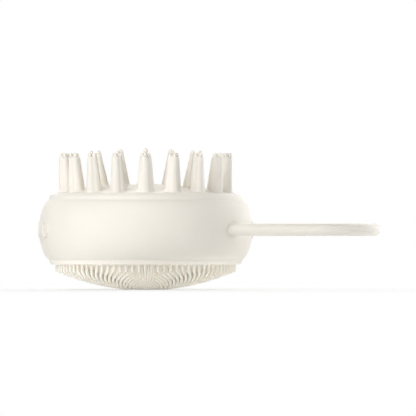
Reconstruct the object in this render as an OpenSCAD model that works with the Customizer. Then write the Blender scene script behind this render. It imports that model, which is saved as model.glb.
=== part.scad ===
// Two-sided electric scalp and skin massager: scalp prongs above, a fine bristle brush below,
// a padded round body between them and a round hanging loop at one side.
// Origin: on the body's axis, at the level of the lowest bristle tips. +Z is up through the prongs,
// +X points to the hanging loop and -X to the three keys. Lengths are in millimetres.

/* [Body] */
// Largest diameter, at the waist
body_d = 90; // [86:0.5:98]
// Height between the two flat rims
body_h = 29.5; // [29:0.25:32]
// How far the waist stands out past the centre of its curve
bulge = 5.5; // [4.5:0.1:6]
// Height of the lip round each rim
lip_h = 2.15; // [1.8:0.05:2.6]
// How far each lip draws in from its crease to its rim
lip_draft = 0.85; // [0.4:0.05:1.1]
// Diameter of the domed face inside each rim
face_d = 76; // [74:0.5:76.5]

/* [Layers] */
// Thickness of the soft sleeve round the side
sleeve_t = 1.9; // [1.6:0.1:2.2]
// Thickness of the two soft face pads
pad_t = 1.8; // [1.6:0.1:2.2]
// Thickness of the hard shells
wall_t = 2; // [1.8:0.1:2.3]
// Gap between one layer and the next
layer_gap = 0.05; // [0.03:0.01:0.08]

/* [Prong face] */
// Rise of the prong face's middle above its rim
crown_rise = 4.45; // [3.5:0.05:5]
// Step from the rim up to the edge of the prong face
crown_edge = 0.5; // [0.3:0.05:0.8]
// Width of a prong where it leaves the face
prong_w = 7.2; // [6:0.1:7.6]
// Width of a prong at its shoulder
prong_top_w = 4.65; // [3.6:0.05:4.9]
// Depth of the flutes between the four lobes, as a share of the width
prong_flute = 0.13; // [0.05:0.01:0.18]
// Space between the outer prongs and the edge of the face
prong_margin = 0.85; // [0.4:0.05:1.5]
// Distance from the outer ring of prongs in to the middle ring
ring_step_outer = 11.9; // [11:0.1:12.5]
// Distance from the middle ring of prongs in to the inner ring
ring_step_inner = 10.1; // [9:0.1:10.5]
// Height of the outer prongs above the rim
prong_rise = 17.55; // [14:0.05:20]
// Length of the four nubs that end each outer prong
nub_h = 1.65; // [1:0.05:2]
// Diameter of a nub
nub_d = 1.4; // [1.1:0.05:1.6]

/* [Brush face] */
// Height of the lower rim above the lowest bristle tips
brush_h = 10.55; // [9.5:0.05:11.5]
// Length of a bristle
bristle_l = 3; // [2.2:0.1:3.4]
// Width of a bristle
bristle_w = 1.1; // [0.8:0.05:1.3]
// Number of bristle rings round the middle bristle
bristle_rings = 11; // [10:1:12]
// How deep the lowest bristles are worn flat
flat_cut = 0.5; // [0.3:0.05:0.7]

/* [Hanging loop] */
// Diameter of the loop's cord
loop_d = 5.3; // [4.4:0.1:6]
// Distance between the loop's two strands
loop_span = 51.2; // [48:0.2:54]
// How far the loop stands out past the waist
loop_reach = 54.1; // [40:0.5:80]
// Width of the recess round each strand where it enters the body
loop_recess = 0.75; // [0.4:0.05:1]

/* [Keys] */
// Diameter of a key
key_d = 6.8; // [6:0.1:7.4]
// How far a key's ring stands out of the waist
key_proud = 0.4; // [0.2:0.05:0.8]
// Angle between one key and the next
key_step = 20; // [18:0.5:22]
// How far a key travels when it is pressed
key_travel = 0.6; // [0.3:0.05:0.8]

/* [Charging port] */
// Diameter of the cover over the charging hole
cover_d = 7.4; // [7:0.1:7.8]
// Thickness of the cover
cover_t = 1; // [0.8:0.05:1.1]
// Diameter of the charging plug's round pin
plug_d = 2.5; // [2:0.1:2.8]
// Depth of the charging hole
plug_l = 9; // [7:0.5:10]

/* [Battery and motor] */
// Diameter of the battery cell
cell_d = 14; // [13:0.1:14.2]
// Length of the battery cell
cell_l = 43; // [38:0.5:44]
// Diameter of the motor's can
motor_d = 15; // [13:0.1:15.2]
// Length of the motor's can
motor_l = 24; // [20:0.5:25]
// Diameter of the motor's shaft
shaft_d = 2; // [1.5:0.1:2.3]
// Radius of the eccentric weight
weight_r = 6.5; // [5:0.1:7]
// Length of the eccentric weight
weight_l = 7; // [5:0.5:8]

/* [Hidden] */

ivory = [0.96, 0.95, 0.91];
shell_white = [0.9, 0.9, 0.88];
steel = [0.72, 0.73, 0.75];
board_green = [0.12, 0.36, 0.22];
$fn = 64;
BIG = 200;

// Heights of the body
rim_low = brush_h;
rim_top = brush_h + body_h;
waist_z = brush_h + body_h / 2;
body_r = body_d / 2;
face_r = face_d / 2;
bulge_end = 0.5;
bulge_half_h = body_h / 2 - lip_h + bulge_end;
shell_half_h = body_h / 2 - pad_t - layer_gap;
split_drop = 8;
split_z = waist_z - split_drop;

// Radius of the side at height z, by an ellipse centred inside the wall
function side_r(z) = body_r - bulge + bulge * sqrt(max(0, 1 - pow((z - waist_z) / bulge_half_h, 2)));
function shell_out_r(z) = side_r(z) - sleeve_t - layer_gap;
function shell_in_r(z) = shell_out_r(z) - wall_t;
function spread(a, b, n) = [for (i = [0:n]) a + (b - a) * i / n];
function arc_radius(half_width, sag) = (half_width * half_width + sag * sag) / (2 * sag);
function sagitta(radius, r) = radius - sqrt(radius * radius - r * r);

// Height of the prong face's upper surface at radius r
crown_top = rim_top + crown_rise;
crown_radius = arc_radius(face_r, crown_rise - crown_edge);
function crown_z(r) = crown_top - sagitta(crown_radius, r);

// Height of the bristle tips' dome at radius r, before the lowest ones are worn flat
belly_radius = arc_radius(face_r, rim_low - bristle_l + flat_cut);
function tip_z(r) = -flat_cut + sagitta(belly_radius, r);
function backing_z(r) = tip_z(r) + bristle_l;

side_steps = 16;
face_steps = 12;
lip_z = body_h / 2 - lip_h;
// Heights that every layer of the side has corners at, closer together towards the rims
lip_angle = asin(lip_z / bulge_half_h);
side_levels = [for (a = spread(-lip_angle, lip_angle, side_steps)) waist_z + bulge_half_h * sin(a)];
function levels(z0, z1) = concat([z0], [for (z = side_levels) if (z > z0 + 0.01 && z < z1 - 0.01) z], [z1]);
function reversed(list) = [for (i = [len(list) - 1:-1:0]) list[i]];
lip_r = side_r(waist_z + lip_z);
rim_r = lip_r - lip_draft;
rim_round = 0.2;
crown_round = 0.3;

module revolve(points) {
    rotate_extrude($fn = 128)
        polygon(points);
}

// Mirrors a drawing of heights above the waist for the lower half
function at_waist(points, side) = [for (p = points) [p[0], waist_z + side * p[1]]];

// Lip and flat rim of a face pad: radius and height above the waist, from the inside out
pad_shoulder = [
    [shell_out_r(waist_z + shell_half_h) + layer_gap, shell_half_h + layer_gap],
    [shell_out_r(waist_z + lip_z) + layer_gap, lip_z + layer_gap],
    [lip_r, lip_z + layer_gap],
    [lip_r - lip_draft * 0.4, lip_z + lip_h * 0.5],
    [rim_r, body_h / 2 - rim_round],
    [rim_r - rim_round, body_h / 2],
];

module side_sleeve() {
    outer = [for (z = side_levels) [side_r(z), z]];
    inner = [for (z = reversed(side_levels)) [shell_out_r(z) + layer_gap, z]];
    color(ivory)
        difference() {
            revolve(concat(outer, inner));
            for (a = key_angles)
                at_side(a)
                    cylinder(r = key_hole_r, h = BIG);
            at_side(0)
                cylinder(r = cover_hole_r, h = BIG);
            hinge_notch();
            translate([cover_hinge_x, cover_hinge_y, waist_z])
                cylinder(r = cover_pin_r, h = cover_pin_l, center = true);
            at_strands()
                cylinder(r = loop_d / 2 + loop_recess, h = BIG);
        }
}

// ---- Prong face ----

ring_count = [1, 6, 12, 18];
ring_outer_r = face_r - prong_w / 2 - prong_margin;
ring_r = [0, ring_outer_r - ring_step_outer - ring_step_inner, ring_outer_r - ring_step_outer, ring_outer_r];
// How far each ring's prongs lean out by their tips
ring_lean = [0, 0.6, 1.4, 1.4];
// How much higher each ring's tips stand than the outer ring's
ring_extra = [2.2, 1.7, 1.1, 0];
prong_sides = 16;
prong_sink = 1;

// One cross-section of a prong: four lobes of half width w, with flutes between them
function lobed(w, flute, z) = [for (i = [0:prong_sides - 1])
    let (a = 360 * i / prong_sides, r = w * (1 - flute * (1 - cos(4 * a))))
    [r * cos(a), r * sin(a), z]];

function middle(points) = [for (p = points) 1] * points / len(points);

// Solid through a stack of cross-sections that all have the same number of points
module loft(sections) {
    n = len(sections[0]);
    m = len(sections);
    points = concat([for (s = sections) each s], [middle(sections[0]), middle(sections[m - 1])]);
    sides = [for (k = [0:m - 2], i = [0:n - 1])
        let (j = (i + 1) % n, a = k * n, b = a + n)
        each [[a + i, b + j, a + j], [a + i, b + i, b + j]]];
    bottom = [for (i = [0:n - 1]) [m * n, i, (i + 1) % n]];
    top = [for (i = [0:n - 1]) [m * n + 1, (m - 1) * n + (i + 1) % n, (m - 1) * n + i]];
    polyhedron(points = points, faces = concat(bottom, sides, top), convexity = 4);
}

nub_sides = 6;
nub_edge = 0.25;
nub_sink = 0.4;
function ngon(r, z) = [for (i = [0:nub_sides - 1])
    let (a = 360 * (i + 0.5) / nub_sides)
    [r * cos(a), r * sin(a), z]];

// Outer prong: a fluted taper with a flat shoulder and four separate nubs on it
module nubbed_prong(length) {
    shoulder = length - nub_h;
    loft([
        lobed(prong_w / 2, prong_flute, -prong_sink),
        lobed(prong_top_w / 2, prong_flute, shoulder),
    ]);
    for (a = [0:90:270])
        rotate([0, 0, a])
            translate([prong_top_w / 2 - nub_edge - nub_d / 2, 0, shoulder])
                loft([
                    ngon(nub_d / 2, -nub_sink),
                    ngon(nub_d / 2, nub_h * 0.55),
                    ngon(nub_d / 4, nub_h),
                ]);
}

bullet_w = 2.05;
bullet_h = 1.75;
bullet_foot = 0.2;

// Inner prong: a fluted straight taper that runs out into one smooth rounded tip
module bullet_prong(length) {
    foot_r = prong_w / 2 - bullet_foot;
    tip_r = bullet_w / 2;
    neck_h = length - bullet_h;
    loft([
        lobed(foot_r, prong_flute, -prong_sink),
        lobed((foot_r + tip_r) / 2, prong_flute, (neck_h - prong_sink) / 2),
        lobed(tip_r, 0, neck_h),
        lobed(tip_r * 0.8, 0, length - bullet_h * 0.35),
        lobed(tip_r * 0.35, 0, length),
    ]);
}

module prong_pad() {
    rs = spread(0, face_r, face_steps);
    under = [for (r = rs) [r, crown_z(r) - pad_t]];
    over = [for (r = reversed(rs)) [r, crown_z(r)]];
    color(ivory) {
        revolve(concat(under, at_waist(pad_shoulder, 1), [[face_r + crown_round, rim_top]], over));
        for (ring = [0:3], i = [0:ring_count[ring] - 1]) {
            foot_z = crown_z(ring_r[ring]);
            rise = rim_top + prong_rise + ring_extra[ring] - foot_z;
            rotate([0, 0, 360 * i / ring_count[ring] - 90])
                translate([ring_r[ring], 0, foot_z])
                    rotate([0, atan2(ring_lean[ring], rise), 0])
                        if (ring == 3)
                            nubbed_prong(rise);
                        else
                            bullet_prong(rise);
        }
    }
}

// ---- Brush face ----

bristle_pitch = (face_r - prong_margin / 2 - bristle_w / 2) / bristle_rings;
function bristle_r(ring) = ring * bristle_pitch;
bristle_sink = 0.5;

module brush_pad() {
    over = [for (r = spread(face_r, 0, face_steps)) [r, backing_z(r) + pad_t]];
    // The backing steps down ring by ring, so that every bristle stands on a flat
    steps = [for (k = [0:bristle_rings])
        let (z = backing_z(bristle_r(k)), inner = max(0, bristle_r(k) - bristle_pitch / 2))
        let (outer = k < bristle_rings ? bristle_r(k) + bristle_pitch / 2 : face_r)
        each [[inner, z], [outer, z]]];
    color(ivory) {
        revolve(concat(steps, [[face_r, rim_low]], reversed(at_waist(pad_shoulder, -1)), over));
        bristles();
    }
}

module bristles() {
    for (k = [0:bristle_rings], i = [0:max(1, 6 * k) - 1]) {
        tip = max(0, tip_z(bristle_r(k)));
        root = backing_z(bristle_r(k)) + bristle_sink;
        rotate([0, 0, 60 * i / max(1, k)])
            translate([bristle_r(k), 0, tip])
                rotate([0, 0, 45])
                    cylinder(r = bristle_w / sqrt(2), h = root - tip, $fn = 4);
    }
}

// ---- Hard shells ----

boss_r = 3.8;
boss_ring_r = 33.5;
boss_angles = [22, 128, 232, 338];
screw_r = 1.2;
screw_head_r = 2.2;
screw_head_h = 1.4;
screw_bite = 8;
screw_gap = 0.05;
head_gap = 0.1;
tip_gap = 0.3;
head_cover = 2.5;
head_seat_z = backing_z(boss_ring_r) + pad_t + layer_gap + head_cover;
groove_w = 1.3;
groove_low = 0.9;
groove_top = 0.35;
groove_r = (shell_out_r(split_z - groove_low - layer_gap) + shell_in_r(split_z)) / 2;
post_r = 2.6;
post_xy = [[-27.5, 8.5], [-27.5, -8.5], [3, 30], [3, -30]];

module at_bosses() {
    for (a = boss_angles)
        rotate([0, 0, a])
            translate([boss_ring_r, 0, 0])
                children();
}

module ring_cut(z0, z1) {
    revolve([[groove_r - groove_w / 2, z0], [groove_r + groove_w / 2, z0],
        [groove_r + groove_w / 2, z1], [groove_r - groove_w / 2, z1]]);
}

module upper_shell() {
    top_z = waist_z + shell_half_h;
    outer = [for (z = levels(split_z, top_z)) [shell_out_r(z), z]];
    roof_r = min(face_r, shell_out_r(top_z));
    roof = [for (r = spread(roof_r, 0, face_steps)) [r, crown_z(r) - pad_t - layer_gap]];
    roof_under_z = crown_z(face_r) - pad_t - layer_gap - wall_t;
    ceiling_r = shell_in_r(roof_under_z);
    ceiling = [for (r = spread(0, ceiling_r, face_steps)) [r, crown_z(r) - pad_t - layer_gap - wall_t]];
    inner = [for (z = reversed(levels(split_z, roof_under_z))) [shell_in_r(z), z]];
    color(shell_white)
        difference() {
            union() {
                revolve(concat(outer, roof, ceiling, inner));
                intersection() {
                    revolve(concat(outer, roof, [[0, split_z]]));
                    union() {
                        at_bosses()
                            cylinder(r = boss_r, h = BIG);
                        at_strands()
                            translate([0, 0, washer_x + washer_t])
                                cylinder(r = washer_r + seat_rim, h = BIG);
                    }
                }
            }
            ring_cut(split_z - 1, split_z + groove_top);
            at_bosses()
                translate([0, 0, split_z - 1])
                    cylinder(r = screw_r + screw_gap, h = screw_bite + 2);
            for (a = key_angles)
                at_side(a)
                    cylinder(r = key_hole_r, h = BIG);
            at_side(0)
                cylinder(r = socket_nose_r + layer_gap, h = BIG);
            at_strands()
                cylinder(r = loop_d / 2 + layer_gap, h = BIG);
        }
}

module lower_shell() {
    low_z = waist_z - shell_half_h;
    joint_z = split_z - layer_gap;
    bottom_r = min(face_r, shell_out_r(low_z));
    bottom = [for (r = spread(0, bottom_r, face_steps)) [r, backing_z(r) + pad_t + layer_gap]];
    outer = [for (z = levels(low_z, joint_z)) [shell_out_r(z), z]];
    floor_top_z = backing_z(face_r) + pad_t + layer_gap + wall_t;
    floor_r = shell_in_r(floor_top_z);
    inner = [for (z = reversed(levels(floor_top_z, joint_z))) [shell_in_r(z), z]];
    floor_top = [for (r = spread(floor_r, 0, face_steps)) [r, backing_z(r) + pad_t + layer_gap + wall_t]];
    color(shell_white)
        difference() {
            union() {
                revolve(concat(bottom, outer, inner, floor_top));
                intersection() {
                    revolve(concat(bottom, outer, [[0, joint_z]]));
                    union() {
                        at_bosses()
                            cylinder(r = boss_r, h = joint_z);
                        for (p = post_xy)
                            translate([p[0], p[1], 0])
                                cylinder(r = post_r, h = deck_z - layer_gap);
                    }
                }
            }
            ring_cut(joint_z - groove_low, split_z + 1);
            at_bosses() {
                cylinder(r = screw_r + screw_gap, h = BIG);
                cylinder(r = screw_head_r + head_gap, h = head_seat_z);
            }
            for (p = post_xy)
                translate([p[0], p[1], deck_z - small_screw_l - tip_gap])
                    cylinder(r = small_screw_r + screw_gap, h = BIG);
        }
}

module seal_ring() {
    seal_r = (groove_low + groove_top + layer_gap) / 2 - 0.02;
    color([0.2, 0.2, 0.22])
        rotate_extrude($fn = 128)
            translate([groove_r, split_z + (groove_top - groove_low - layer_gap) / 2])
                circle(r = seal_r, $fn = 24);
}

// ---- Hanging loop ----

washer_r = 4.6;
washer_t = 1;
washer_x = 26.5;
seat_rim = 0.6;
loop_head_t = 3;
loop_head_r = 4.2;
loop_bend_x = body_r + loop_reach - loop_span / 2 - loop_d / 2;

// Places a drawing on each strand, with its +Z along +X
module at_strands() {
    for (s = [-1, 1])
        translate([0, s * loop_span / 2, waist_z])
            rotate([0, 90, 0])
                children();
}

module hanging_loop() {
    color(ivory) {
        at_strands() {
            translate([0, 0, washer_x])
                cylinder(r = loop_d / 2, h = loop_bend_x - washer_x);
            translate([0, 0, washer_x - loop_head_t])
                cylinder(r = loop_head_r, h = loop_head_t);
        }
        translate([loop_bend_x, 0, waist_z])
            rotate([0, 0, -90])
                rotate_extrude(angle = 180, $fn = 96)
                    translate([loop_span / 2, 0])
                        circle(r = loop_d / 2, $fn = 48);
    }
}

// Soft collars that close the recess round each strand, a little below the surface
module loop_grommets() {
    collar_depth = 1.1;
    collar_half_h = loop_d / 2 + loop_recess + 1;
    zs = levels(waist_z - collar_half_h, waist_z + collar_half_h);
    color(ivory)
        intersection() {
            at_strands()
                difference() {
                    cylinder(r = loop_d / 2 + loop_recess - layer_gap, h = BIG);
                    translate([0, 0, -1])
                        cylinder(r = loop_d / 2 + layer_gap, h = BIG);
                }
            revolve(concat([for (z = zs) [side_r(z) - collar_depth, z]],
                [for (z = reversed(zs)) [shell_out_r(z) + layer_gap, z]]));
        }
}

module loop_washers() {
    color(steel)
        at_strands()
            translate([0, 0, washer_x])
                difference() {
                    cylinder(r = washer_r, h = washer_t);
                    translate([0, 0, -1])
                        cylinder(r = loop_d / 2 + layer_gap, h = washer_t + 2);
                }
}

// ---- Keys ----

key_angles = [180 - key_step, 180, 180 + key_step];
key_gap = 0.3;
key_hole_r = key_d / 2 + key_gap;
key_rim_w = 0.75;
key_dish = 0.3;
key_edge = 0.2;
flange_r = key_d / 2 + 1;
flange_t = 1;
flange_gap = 0.2;
// The flange stays inside the wall, which curves away from it both ways
flange_out = min(shell_in_r(waist_z + flange_r),
    sqrt(pow(shell_in_r(waist_z), 2) - flange_r * flange_r)) - flange_gap;
key_back = flange_out - flange_t;
plunger_r = 1.7;
plunger_out = 1.5;
plunger_in = 1.4;
plunger_gap = 0.1;
switch_w = 6.2;
switch_h = 3.4;
switch_face = key_back - plunger_out;
switch_seat = switch_face - switch_h;
key_board_t = 1.2;
symbol_l = 2.6;
symbol_w = 0.5;
symbol_h = 0.2;
symbol_sink = 0.1;

// Places a drawing on the side at an angle, with its +Z pointing outwards from the axis
module at_side(angle) {
    rotate([0, 0, angle])
        translate([0, 0, waist_z])
            rotate([0, 90, 0])
                children();
}

// Key cap: a stem through the wall, a raised ring round a dished face and a flange inside
module key_cap(angle) {
    top = body_r + key_proud;
    color(ivory)
        at_side(angle) {
            rotate_extrude()
                polygon([[0, key_back], [flange_r, key_back], [flange_r, flange_out], [key_d / 2, flange_out],
                    [key_d / 2, top - key_edge], [key_d / 2 - key_edge, top], [key_d / 2 - key_rim_w, top],
                    [key_d / 2 - key_rim_w - key_dish / 2, top - key_dish], [0, top - key_dish]]);
            translate([0, 0, top - key_dish - symbol_sink])
                children();
        }
}

// One bar of a key's symbol; the key's up is the drawing's -X
module symbol_bar(length) {
    translate([-symbol_w / 2, -length / 2, 0])
        cube([symbol_w, length, symbol_h + symbol_sink]);
}

module power_button() {
    ring_r = symbol_l / 2;
    key_cap(180) {
        difference() {
            cylinder(r = ring_r, h = symbol_h + symbol_sink);
            translate([0, 0, -1])
                cylinder(r = ring_r - symbol_w, h = 2);
            translate([-ring_r - 1, -symbol_w, -1])
                cube([ring_r, 2 * symbol_w, 2]);
        }
        translate([-ring_r * 0.65, 0, 0])
            rotate([0, 0, 90])
                symbol_bar(symbol_l * 0.45);
    }
}

module minus_button() {
    key_cap(180 + key_step)
        symbol_bar(symbol_l);
}

module plus_button() {
    key_cap(180 - key_step) {
        symbol_bar(symbol_l);
        rotate([0, 0, 90])
            symbol_bar(symbol_l);
    }
}

module plunger(angle) {
    color([0.25, 0.25, 0.27])
        at_side(angle)
            translate([0, 0, switch_face - plunger_in + key_travel])
                cylinder(r = plunger_r, h = plunger_out + plunger_in - key_travel);
}

module power_plunger() {
    plunger(180);
}

module minus_plunger() {
    plunger(180 + key_step);
}

module plus_plunger() {
    plunger(180 - key_step);
}

module key_switches() {
    color(steel)
        for (a = key_angles)
            at_side(a)
                difference() {
                    translate([-switch_w / 2, -switch_w / 2, switch_seat])
                        cube([switch_w, switch_w, switch_h]);
                    translate([0, 0, switch_face - plunger_in - plunger_gap])
                        cylinder(r = plunger_r + plunger_gap, h = BIG);
                }
}

key_board_h = 13;
// Angle that the strip runs on past the outer keys
key_board_end = 8;
function polar(d, a) = [d * cos(a), d * sin(a)];

// Three flats, one behind each key, in one bent strip
module key_board() {
    half = key_step / 2;
    bends = [180 - key_step - key_board_end, 180 - half, 180 + half, 180 + key_step + key_board_end];
    reach = [1 / cos(key_board_end), 1 / cos(half), 1 / cos(half), 1 / cos(key_board_end)];
    outer = [for (i = [0:3]) polar(switch_seat * reach[i], bends[i])];
    inner = [for (i = [3:-1:0]) polar((switch_seat - key_board_t) * reach[i], bends[i])];
    color(board_green)
        translate([0, 0, deck_top])
            linear_extrude(key_board_h)
                polygon(concat(outer, inner));
}

ribbon_w = 8;
ribbon_t = 0.3;
ribbon_lap = 2.5;

// Flat cable from the key board's top edge over to the circuit board
module key_ribbon() {
    x0 = -switch_seat;
    z0 = deck_top + key_board_h;
    z1 = board_z + board_t;
    color([0.85, 0.6, 0.25]) {
        translate([x0, -ribbon_w / 2, z0])
            cube([ribbon_t, ribbon_w, z1 + ribbon_t - z0]);
        translate([x0, -ribbon_w / 2, z1])
            cube([board_x0 + ribbon_lap - x0, ribbon_w, ribbon_t]);
    }
}

// ---- Charging port ----

cover_gap = 0.3;
cover_hole_r = cover_d / 2 + cover_gap;
cover_proud = 0.15;
cover_edge = 0.2;
cover_rim_w = 0.8;
cover_web_t = 0.6;
cover_face = body_r + cover_proud;
cover_pin_r = 0.3;
cover_pin_l = 5.4;
pin_gap = 0.06;
cover_knuckle_r = 0.6;
cover_knuckle_l = 3.6;
cover_hinge_x = body_r - 0.45;
cover_hinge_y = cover_d / 2 + 1;
stopper_r = 1;
stopper_l = 0.6;
socket_nose_r = 2.6;
socket_nose_end = cover_face - cover_t - 0.1;
socket_front = flange_out - 0.4;
socket_w = 8;
socket_l = 9;
socket_seal_w = 0.9;
socket_seal_t = 0.5;
plug_gap = 0.05;
hole_r = plug_d / 2 + plug_gap;
lead_in = 0.9;

// Room in the sleeve for the cover's knuckle and web
module hinge_notch() {
    notch_r = cover_knuckle_r + cover_gap;
    notch_h = cover_knuckle_l + 2 * cover_gap;
    translate([cover_hinge_x, cover_hinge_y, waist_z])
        cylinder(r = notch_r, h = notch_h, center = true);
    translate([cover_hinge_x - notch_r, 0, waist_z - notch_h / 2])
        cube([BIG, cover_hinge_y + notch_r, notch_h]);
}

// Flap over the charging hole, with a hinge knuckle at its far side
module port_cover() {
    dish = cover_face - cover_edge;
    rim_in = cover_d / 2 - cover_rim_w;
    color(ivory) {
        at_side(0) {
            rotate_extrude()
                polygon([[0, cover_face - cover_t], [cover_d / 2, cover_face - cover_t], [cover_d / 2, dish],
                    [cover_d / 2 - cover_edge, cover_face], [rim_in, cover_face], [rim_in - cover_edge, dish],
                    [0, dish]]);
            translate([0, 0, cover_face - cover_t - stopper_l])
                cylinder(r1 = stopper_r * 0.8, r2 = stopper_r, h = stopper_l + cover_edge);
        }
        difference() {
            union() {
                translate([cover_hinge_x, cover_hinge_y, waist_z])
                    cylinder(r = cover_knuckle_r, h = cover_knuckle_l, center = true);
                translate([dish - cover_web_t, cover_d / 2 - cover_web_t, waist_z - cover_knuckle_l / 2])
                    cube([cover_web_t, cover_hinge_y - cover_d / 2 + cover_web_t, cover_knuckle_l]);
            }
            translate([cover_hinge_x, cover_hinge_y, waist_z])
                cylinder(r = cover_pin_r + pin_gap, h = BIG, center = true);
        }
    }
}

module cover_pin() {
    color(steel)
        translate([cover_hinge_x, cover_hinge_y, waist_z])
            cylinder(r = cover_pin_r, h = cover_pin_l, center = true);
}

module charge_socket() {
    color([0.18, 0.18, 0.2])
        difference() {
            union() {
                translate([socket_front - socket_l, -socket_w / 2, waist_z - socket_w / 2])
                    cube([socket_l, socket_w, socket_w]);
                at_side(0)
                    translate([0, 0, socket_front - 1])
                        cylinder(r = socket_nose_r, h = socket_nose_end - socket_front + 1);
            }
            at_side(0) {
                translate([0, 0, socket_nose_end - plug_l])
                    cylinder(r = hole_r, h = BIG);
                translate([0, 0, socket_nose_end - lead_in])
                    cylinder(r1 = hole_r, r2 = hole_r + lead_in, h = lead_in + 0.001);
            }
        }
}

module socket_seal() {
    color([0.2, 0.2, 0.22])
        at_side(0)
            translate([0, 0, socket_front])
                difference() {
                    cylinder(r = socket_nose_r + socket_seal_w, h = socket_seal_t);
                    translate([0, 0, -1])
                        cylinder(r = socket_nose_r + layer_gap, h = socket_seal_t + 2);
                }
}

// ---- Chassis ----

deck_t = 2;
deck_top = split_z;
deck_z = deck_top - deck_t;
deck_room = 3.1;
deck_r = shell_in_r(deck_z) - deck_room;
boss_room = 0.4;
// Saddles under the motor and the cell: their width, and how far below the axis they end
saddle_w = 3;
saddle_drop = 2;
motor_saddle_y = motor_l / 2 - saddle_w;
cell_saddle_y = cell_l / 2 - 2 * saddle_w;
motor_x = 12.5;
motor_lift = 0.5;
cushion_t = 1;
cushion_r = motor_d / 2 + cushion_t;
cushion_l = motor_l - 4;
motor_z = deck_top + motor_lift + cushion_r;
cell_x = -15.5;
foam_t = 1;
cell_z = deck_top + foam_t + cell_d / 2;
key_rib_l = 4;
key_rib_t = 2;
board_t = 1.2;
board_x0 = -28.5;
board_w = 26;
board_l = 34;
board_x1 = board_x0 + board_w;
board_y1 = board_l / 2;
board_post_in = [2.5, 3];
board_post_r = 2;
board_post_xy = [for (x = [board_x0 + board_post_in[0], board_x1 - board_post_in[0]], s = [1, -1])
    [x, s * (board_y1 - board_post_in[1])]];
small_screw_r = 0.9;
small_screw_l = 4;
small_screw_room = 0.15;
small_head_r = 1.8;
small_head_h = 1.2;
clamp_t = 1.2;
clamp_w = 8;
clamp_gap = 0.2;
board_z = cell_z + cell_d / 2 + clamp_t + clamp_gap;
foot_l = 4;
foot_t = 1.5;
motor_feet = [motor_x - cushion_r - clamp_t - foot_l / 2, motor_x + cushion_r + clamp_t + foot_l / 2];
cell_feet = [cell_x - cell_d / 2 - clamp_t - foot_l / 2, cell_x + cell_d / 2 + clamp_t + foot_l / 2];

// Block across the deck at y, up to height top, that a round body of radius r lies in
module saddle(x, y, r, top) {
    translate([x - r, y - saddle_w / 2, deck_z])
        cube([2 * r, saddle_w, top - deck_z]);
}

module chassis() {
    color(shell_white)
        difference() {
            union() {
                translate([0, 0, deck_z])
                    cylinder(r = deck_r, h = deck_t);
                for (s = [-1, 1]) {
                    saddle(motor_x, s * motor_saddle_y, cushion_r, motor_z - saddle_drop);
                    saddle(cell_x, s * cell_saddle_y, cell_d / 2, cell_z - saddle_drop);
                    rotate([0, 0, 180 + s * key_step / 2])
                        translate([switch_seat - key_board_t - key_rib_l, -key_rib_t / 2, deck_z])
                            cube([key_rib_l - layer_gap, key_rib_t, key_board_h]);
                }
                for (p = board_post_xy)
                    translate([p[0], p[1], deck_z])
                        cylinder(r = board_post_r, h = board_z - layer_gap - deck_z);
                translate([socket_front - socket_l, -socket_w / 2, deck_z])
                    cube([socket_l / 2, socket_w, waist_z - socket_w / 2 - layer_gap - deck_z]);
            }
            translate([motor_x, 0, motor_z])
                rotate([90, 0, 0])
                    cylinder(r = cushion_r + layer_gap, h = BIG, center = true);
            translate([cell_x, 0, cell_z])
                rotate([90, 0, 0])
                    cylinder(r = cell_d / 2 + layer_gap, h = BIG, center = true);
            at_bosses()
                cylinder(r = boss_r + boss_room, h = BIG);
            for (p = post_xy)
                translate([p[0], p[1], 0])
                    cylinder(r = small_screw_r + small_screw_room, h = BIG);
            for (p = board_post_xy)
                translate([p[0], p[1], board_z - small_screw_l])
                    cylinder(r = small_screw_r + screw_gap, h = BIG);
            for (x = concat(motor_feet, cell_feet))
                translate([x, 0, deck_z - 1])
                    cylinder(r = small_screw_r + screw_gap, h = BIG);
        }
}

// Strap of width clamp_w over a round body of radius r, with two feet on the deck
module strap(x, z, r) {
    difference() {
        union() {
            translate([x, 0, z])
                rotate([90, 0, 0])
                    cylinder(r = r + clamp_t, h = clamp_w, center = true);
            translate([x - r - clamp_t, -clamp_w / 2, deck_top + layer_gap])
                cube([2 * (r + clamp_t), clamp_w, z - deck_top - layer_gap]);
            translate([x - r - clamp_t - foot_l, -clamp_w / 2, deck_top + layer_gap])
                cube([2 * (r + clamp_t + foot_l), clamp_w, foot_t]);
        }
        translate([x, 0, z])
            rotate([90, 0, 0])
                cylinder(r = r + layer_gap, h = clamp_w + 2, center = true);
        translate([x - r - layer_gap, -clamp_w, deck_top - 1])
            cube([2 * (r + layer_gap), 2 * clamp_w, z - deck_top + 1]);
        translate([0, 0, -BIG / 2 + deck_top])
            cube([BIG, BIG, BIG], center = true);
        for (s = [-1, 1])
            translate([x + s * (r + clamp_t + foot_l / 2), 0, 0])
                cylinder(r = small_screw_r + small_screw_room, h = deck_top + foot_t + 1);
    }
}

// ---- Motor ----

can_t = 0.8;
front_t = 1;
end_cap_t = 1.6;
spigot_t = 1.2;
bush_r = 2.45;
bush_flange_r = 3.6;
armature_r = 4.6;
armature_room = 5;
armature_l = motor_l - 2 * armature_room;
commutator_r = 2;
commutator_l = 4;
magnet_in_r = 5;
magnet_l = motor_l - 6;
magnet_split = 4;
shaft_gap = 0.03;
press_gap = 0.02;
shaft_tail = 0.1;

// Places a drawing on the motor's axis, with its +Z along -Y towards the eccentric weight
module at_motor() {
    translate([motor_x, 0, motor_z])
        rotate([90, 0, 0])
            children();
}

module motor_can() {
    color(steel)
        at_motor()
            difference() {
                cylinder(r = motor_d / 2, h = motor_l, center = true);
                translate([0, 0, -motor_l / 2 - 1])
                    cylinder(r = motor_d / 2 - can_t, h = motor_l - front_t + 1);
                cylinder(r = bush_r + press_gap, h = BIG);
            }
}

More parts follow.
